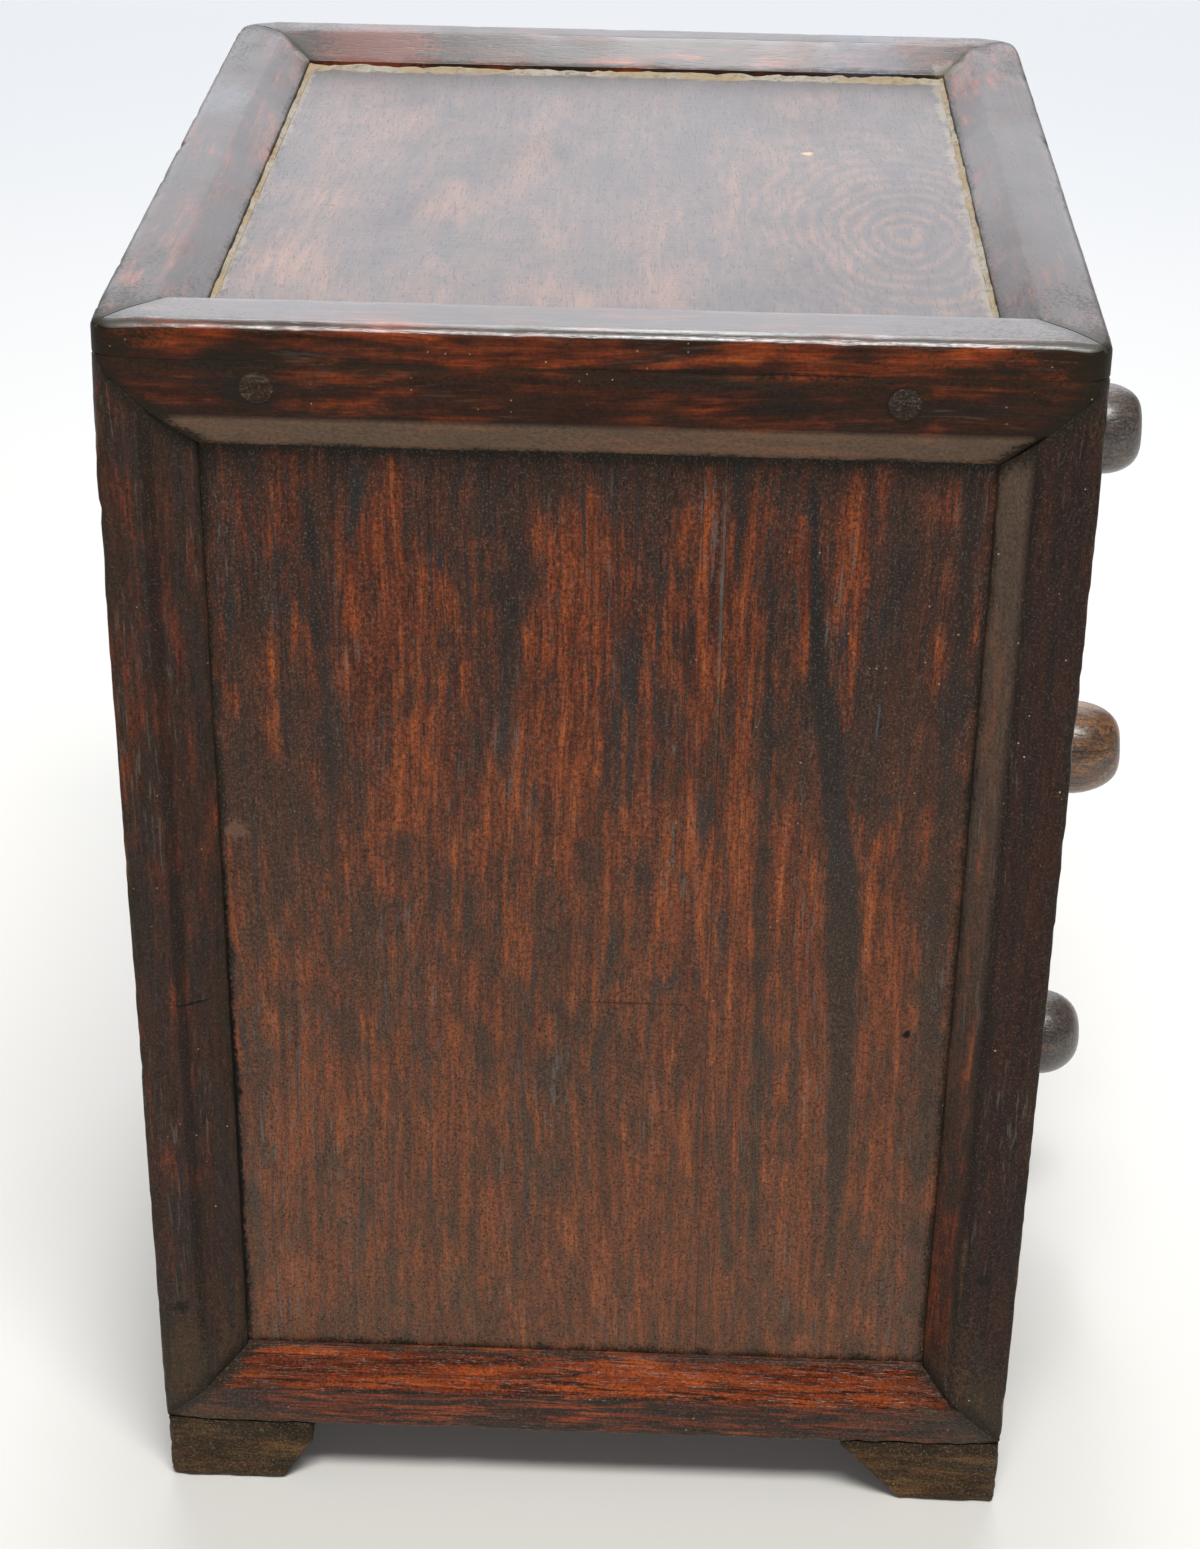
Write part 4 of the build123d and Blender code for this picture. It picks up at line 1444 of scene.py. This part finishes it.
def knobPiece(name, seed):
    node = f"{name}_drawer_knob"
    low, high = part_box(node)
    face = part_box(f"{name}_drawer_front")[0].y
    axis = Vector((0, face, (low.z + high.z) / 2))
    points = [axis + Vector((radius, -out, 0)) for radius, out in knobProfile(name, face - low.y)]
    deselectAll()
    bpy.ops.mesh.primitive_plane_add(size=1 * mm, location=(0, 0, 0))
    piece = bpy.context.object
    piece.name = node + "_wood"
    editMode()
    bpy.ops.mesh.select_mode(type="VERT")
    selectAll()
    bpy.ops.mesh.merge(type="CENTER")
    bpy.ops.transform.translate(value=points[0])
    for before, after in zip(points, points[1:]):
        bpy.ops.mesh.extrude_vertices_move(TRANSFORM_OT_translate={"value": after - before})
    selectAll()
    bpy.ops.mesh.spin(steps=knobs["steps"], angle=2 * math.pi, center=axis, axis=(0, 1, 0))
    selectAll()
    bpy.ops.mesh.remove_doubles(threshold=tiny)
    bpy.ops.mesh.normals_make_consistent(inside=False)
    objectMode()
    paint(piece, "grimeAndShade", lambda p: fadeFrom(knobs["grimeAndShade"], face - p.y))
    paint(piece, "tone", lambda p: knobs["tone"][name])
    for wear, direction in knobs["wear"]:
        wearDown(piece, wear, direction)
    smoothShade(piece, knobs["smooth"])
    settle(piece, node, woodMaterial(node + "_wood", knobLook, "y", seed, knobs["coat"]))


softBoards = {
    "round": 0.5 * mm,
    "thinRound": 0.2 * mm,
    "longEdge": 12 * mm,  # shorter edges stay sharp
    "flat": 2,  # degrees
}


def softenedCopy(node, material, rounding="round", frontMaterial=None):  # the node's shape, edges eased
    deselectAll()
    piece = bpy.data.objects.new(node + "_wood", frame["nodes"][node].data.copy())
    bpy.context.scene.collection.objects.link(piece)
    makeActive(piece)
    editMode()
    selectAll()
    bpy.ops.mesh.remove_doubles(threshold=tiny)
    bpy.ops.mesh.dissolve_limited(angle_limit=math.radians(softBoards["flat"]))
    objectMode()
    width = softBoards[rounding]
    roundEdges(piece, lambda a, b: width if (a - b).length > softBoards["longEdge"] else 0.0, 2)
    smoothShade(piece)
    settle(piece, node, material)
    if frontMaterial:
        piece.data.materials.append(frontMaterial)
        for polygon in piece.data.polygons:
            polygon.material_index = int(polygon.normal.y < -0.5)


def refinish(node, material):  # the node keeps its own shape
    materials = frame["nodes"][node].data.materials
    materials.clear()
    materials.append(material)


iron = ironMaterial()
for number, name in enumerate(("lower", "middle", "upper")):
    drawerFront(name, 41 + number)
    knobPiece(name, 51 + number)
    boxWood = woodMaterial(f"{name}_drawer_box", innerLook, "y", 61 + number)
    endWood = woodMaterial(f"{name}_drawer_end", innerLook, "x", 64 + number)
    for part, wood in (("left_side", boxWood), ("right_side", boxWood), ("back", endWood)):
        softenedCopy(f"{name}_drawer_{part}", wood)
    softenedCopy(f"{name}_drawer_bottom", endWood, "thinRound")
    refinish(f"{name}_drawer_nails", iron)
refinish("foot_nails", iron)
print("drawers and nails made")

shelfWood = woodMaterial("shelfWood", innerLook, "x", 71)
edgeWood = woodMaterial("shelfEdgeWood", frameLook, "x", 72)
for node in ("bottom_board", "lower_divider", "middle_divider"):
    softenedCopy(node, shelfWood, frontMaterial=edgeWood)
softenedCopy("front_top_rail", edgeWood)
refinish("top_pegs", woodMaterial("pegWood", pegLook, "y", 73))
print("inner boards and pegs finished")

# Floor, light and camera
stage = {
    "floor": seen(233, 232, 228),
    "floorSize": 9.0,
    "backdrop": seen(239, 242, 246),
    "nearFloor": (0.55, 1.7),  # the floor turns into the backdrop between these distances
    "floorFar": seen(199, 203, 209),
    "floorLift": 0.04,
    "floorShade": (0.0, 1.6),  # behind the part the floor grows darker between these distances
    "floorRoughness": 0.75,
    "world": (0.13, seen(240, 244, 250)),
}


def floorMaterial():  # painted board, lifted towards white where it is seen or mirrored
    material, tree, shader, place = newMaterial("floorPaint")
    across = addNode(tree, "SeparateXYZ", {0: place}).outputs[0]
    away = vectorOf(tree, "LENGTH", place)
    shade = rangeOf(tree, across, *stage["floorShade"])
    setInputs(tree, shader, {
        "Base Color": mixColour(tree, shade, stage["floor"], stage["floorFar"]),
        "Roughness": stage["floorRoughness"],
    })
    glow = addNode(tree, "Emission", {"Color": stage["backdrop"], "Strength": 1.0})
    path = addNode(tree, "LightPath").outputs
    shown = mathOf(tree, "MAXIMUM", path["Is Camera Ray"], path["Is Glossy Ray"])
    shown = mathOf(tree, "MAXIMUM", shown, path["Is Transmission Ray"])
    lift = mathOf(tree, "MULTIPLY", shown, rangeOf(tree, away, *stage["nearFloor"], stage["floorLift"], 1.0))
    mixed = addNode(tree, "MixShader", {0: lift, 1: shader.outputs[0], 2: glow.outputs[0]})
    tree.links.new(mixed.outputs[0], tree.nodes["Material Output"].inputs["Surface"])
    return material


deselectAll()
bpy.ops.mesh.primitive_plane_add(size=stage["floorSize"], location=(0, 0, 0))
floor = bpy.context.object
floor.name = "floor"
floor.data.materials.append(floorMaterial())

world = bpy.data.worlds.new("room")
bpy.context.scene.world = world
world.use_nodes = True
room = world.node_tree
roomLight = room.nodes["Background"]
setInputs(room, roomLight, {"Strength": stage["world"][0], "Color": stage["world"][1]})
backdrop = addNode(room, "Background", {"Color": stage["backdrop"], "Strength": 1.0}).outputs[0]
isSeen = addNode(room, "LightPath").outputs["Is Camera Ray"]
mixed = addNode(room, "MixShader", {0: isSeen, 1: roomLight.outputs[0], 2: backdrop})
room.links.new(mixed.outputs[0], room.nodes["World Output"].inputs["Surface"])

lamps = {  # place, target, width and height, watts, colour
    "backWindow": ((2.6, 0.1, 1.0), (0, 0, 0.25), 3.2, 1.4, 27, (0.92, 0.94, 1.0)),
    "highWindow": ((1.5, 0.0, 1.65), (0, 0, 0.29), 1.8, 0.3, 13, (0.95, 0.97, 1.0)),
    "skylight": ((0.95, -0.01, 2.0), (0, 0, 0.2), 0.28, 1.1, 11.5, (0.98, 0.98, 1.0)),
    "ceiling": ((-0.1, 0.0, 2.4), (-0.1, 0, 0), 3.0, 3.4, 7, (1.0, 0.99, 0.97)),
    "fill": ((-1.05, -0.2, 2.35), (0, 0, 0.15), 1.2, 0.5, 51, (1.0, 0.98, 0.95)),
}
for name, (place, target, width, height, watts, colour) in lamps.items():
    lamp = bpy.data.lights.new(name, "AREA")
    lamp.shape = "RECTANGLE"
    lamp.size, lamp.size_y = width, height
    lamp.energy = watts
    lamp.color = colour
    holder = bpy.data.objects.new(name, lamp)
    holder.location = place
    holder.rotation_euler = (Vector(target) - Vector(place)).to_track_quat("-Z", "Y").to_euler()
    holder.visible_camera = False
    bpy.context.scene.collection.objects.link(holder)

photoCamera = {
    "place": (-0.6417, -0.00195, 0.4942),
    "yaw": 1.491,
    "pitch": -29.235,
    "roll": 0.933,
    "lens": 68.92,
}
yaw, pitch, roll = (math.radians(photoCamera[name]) for name in ("yaw", "pitch", "roll"))
ahead = Vector((math.cos(yaw) * math.cos(pitch), math.sin(yaw) * math.cos(pitch), math.sin(pitch)))
right = ahead.cross(Vector((0, 0, 1))).normalized()
up = right.cross(ahead)
rolledRight = math.cos(roll) * right + math.sin(roll) * up
rolledUp = math.cos(roll) * up - math.sin(roll) * right
cameraData = bpy.data.cameras.new("camera")
cameraData.lens = photoCamera["lens"]
cameraData.sensor_width = 36
camera = bpy.data.objects.new("camera", cameraData)
turn = Matrix((rolledRight, rolledUp, -ahead)).transposed().to_4x4()
camera.matrix_world = Matrix.Translation(photoCamera["place"]) @ turn
bpy.context.scene.collection.objects.link(camera)
bpy.context.scene.camera = camera
bpy.context.scene.view_settings.view_transform = "Standard"
print("stage set")
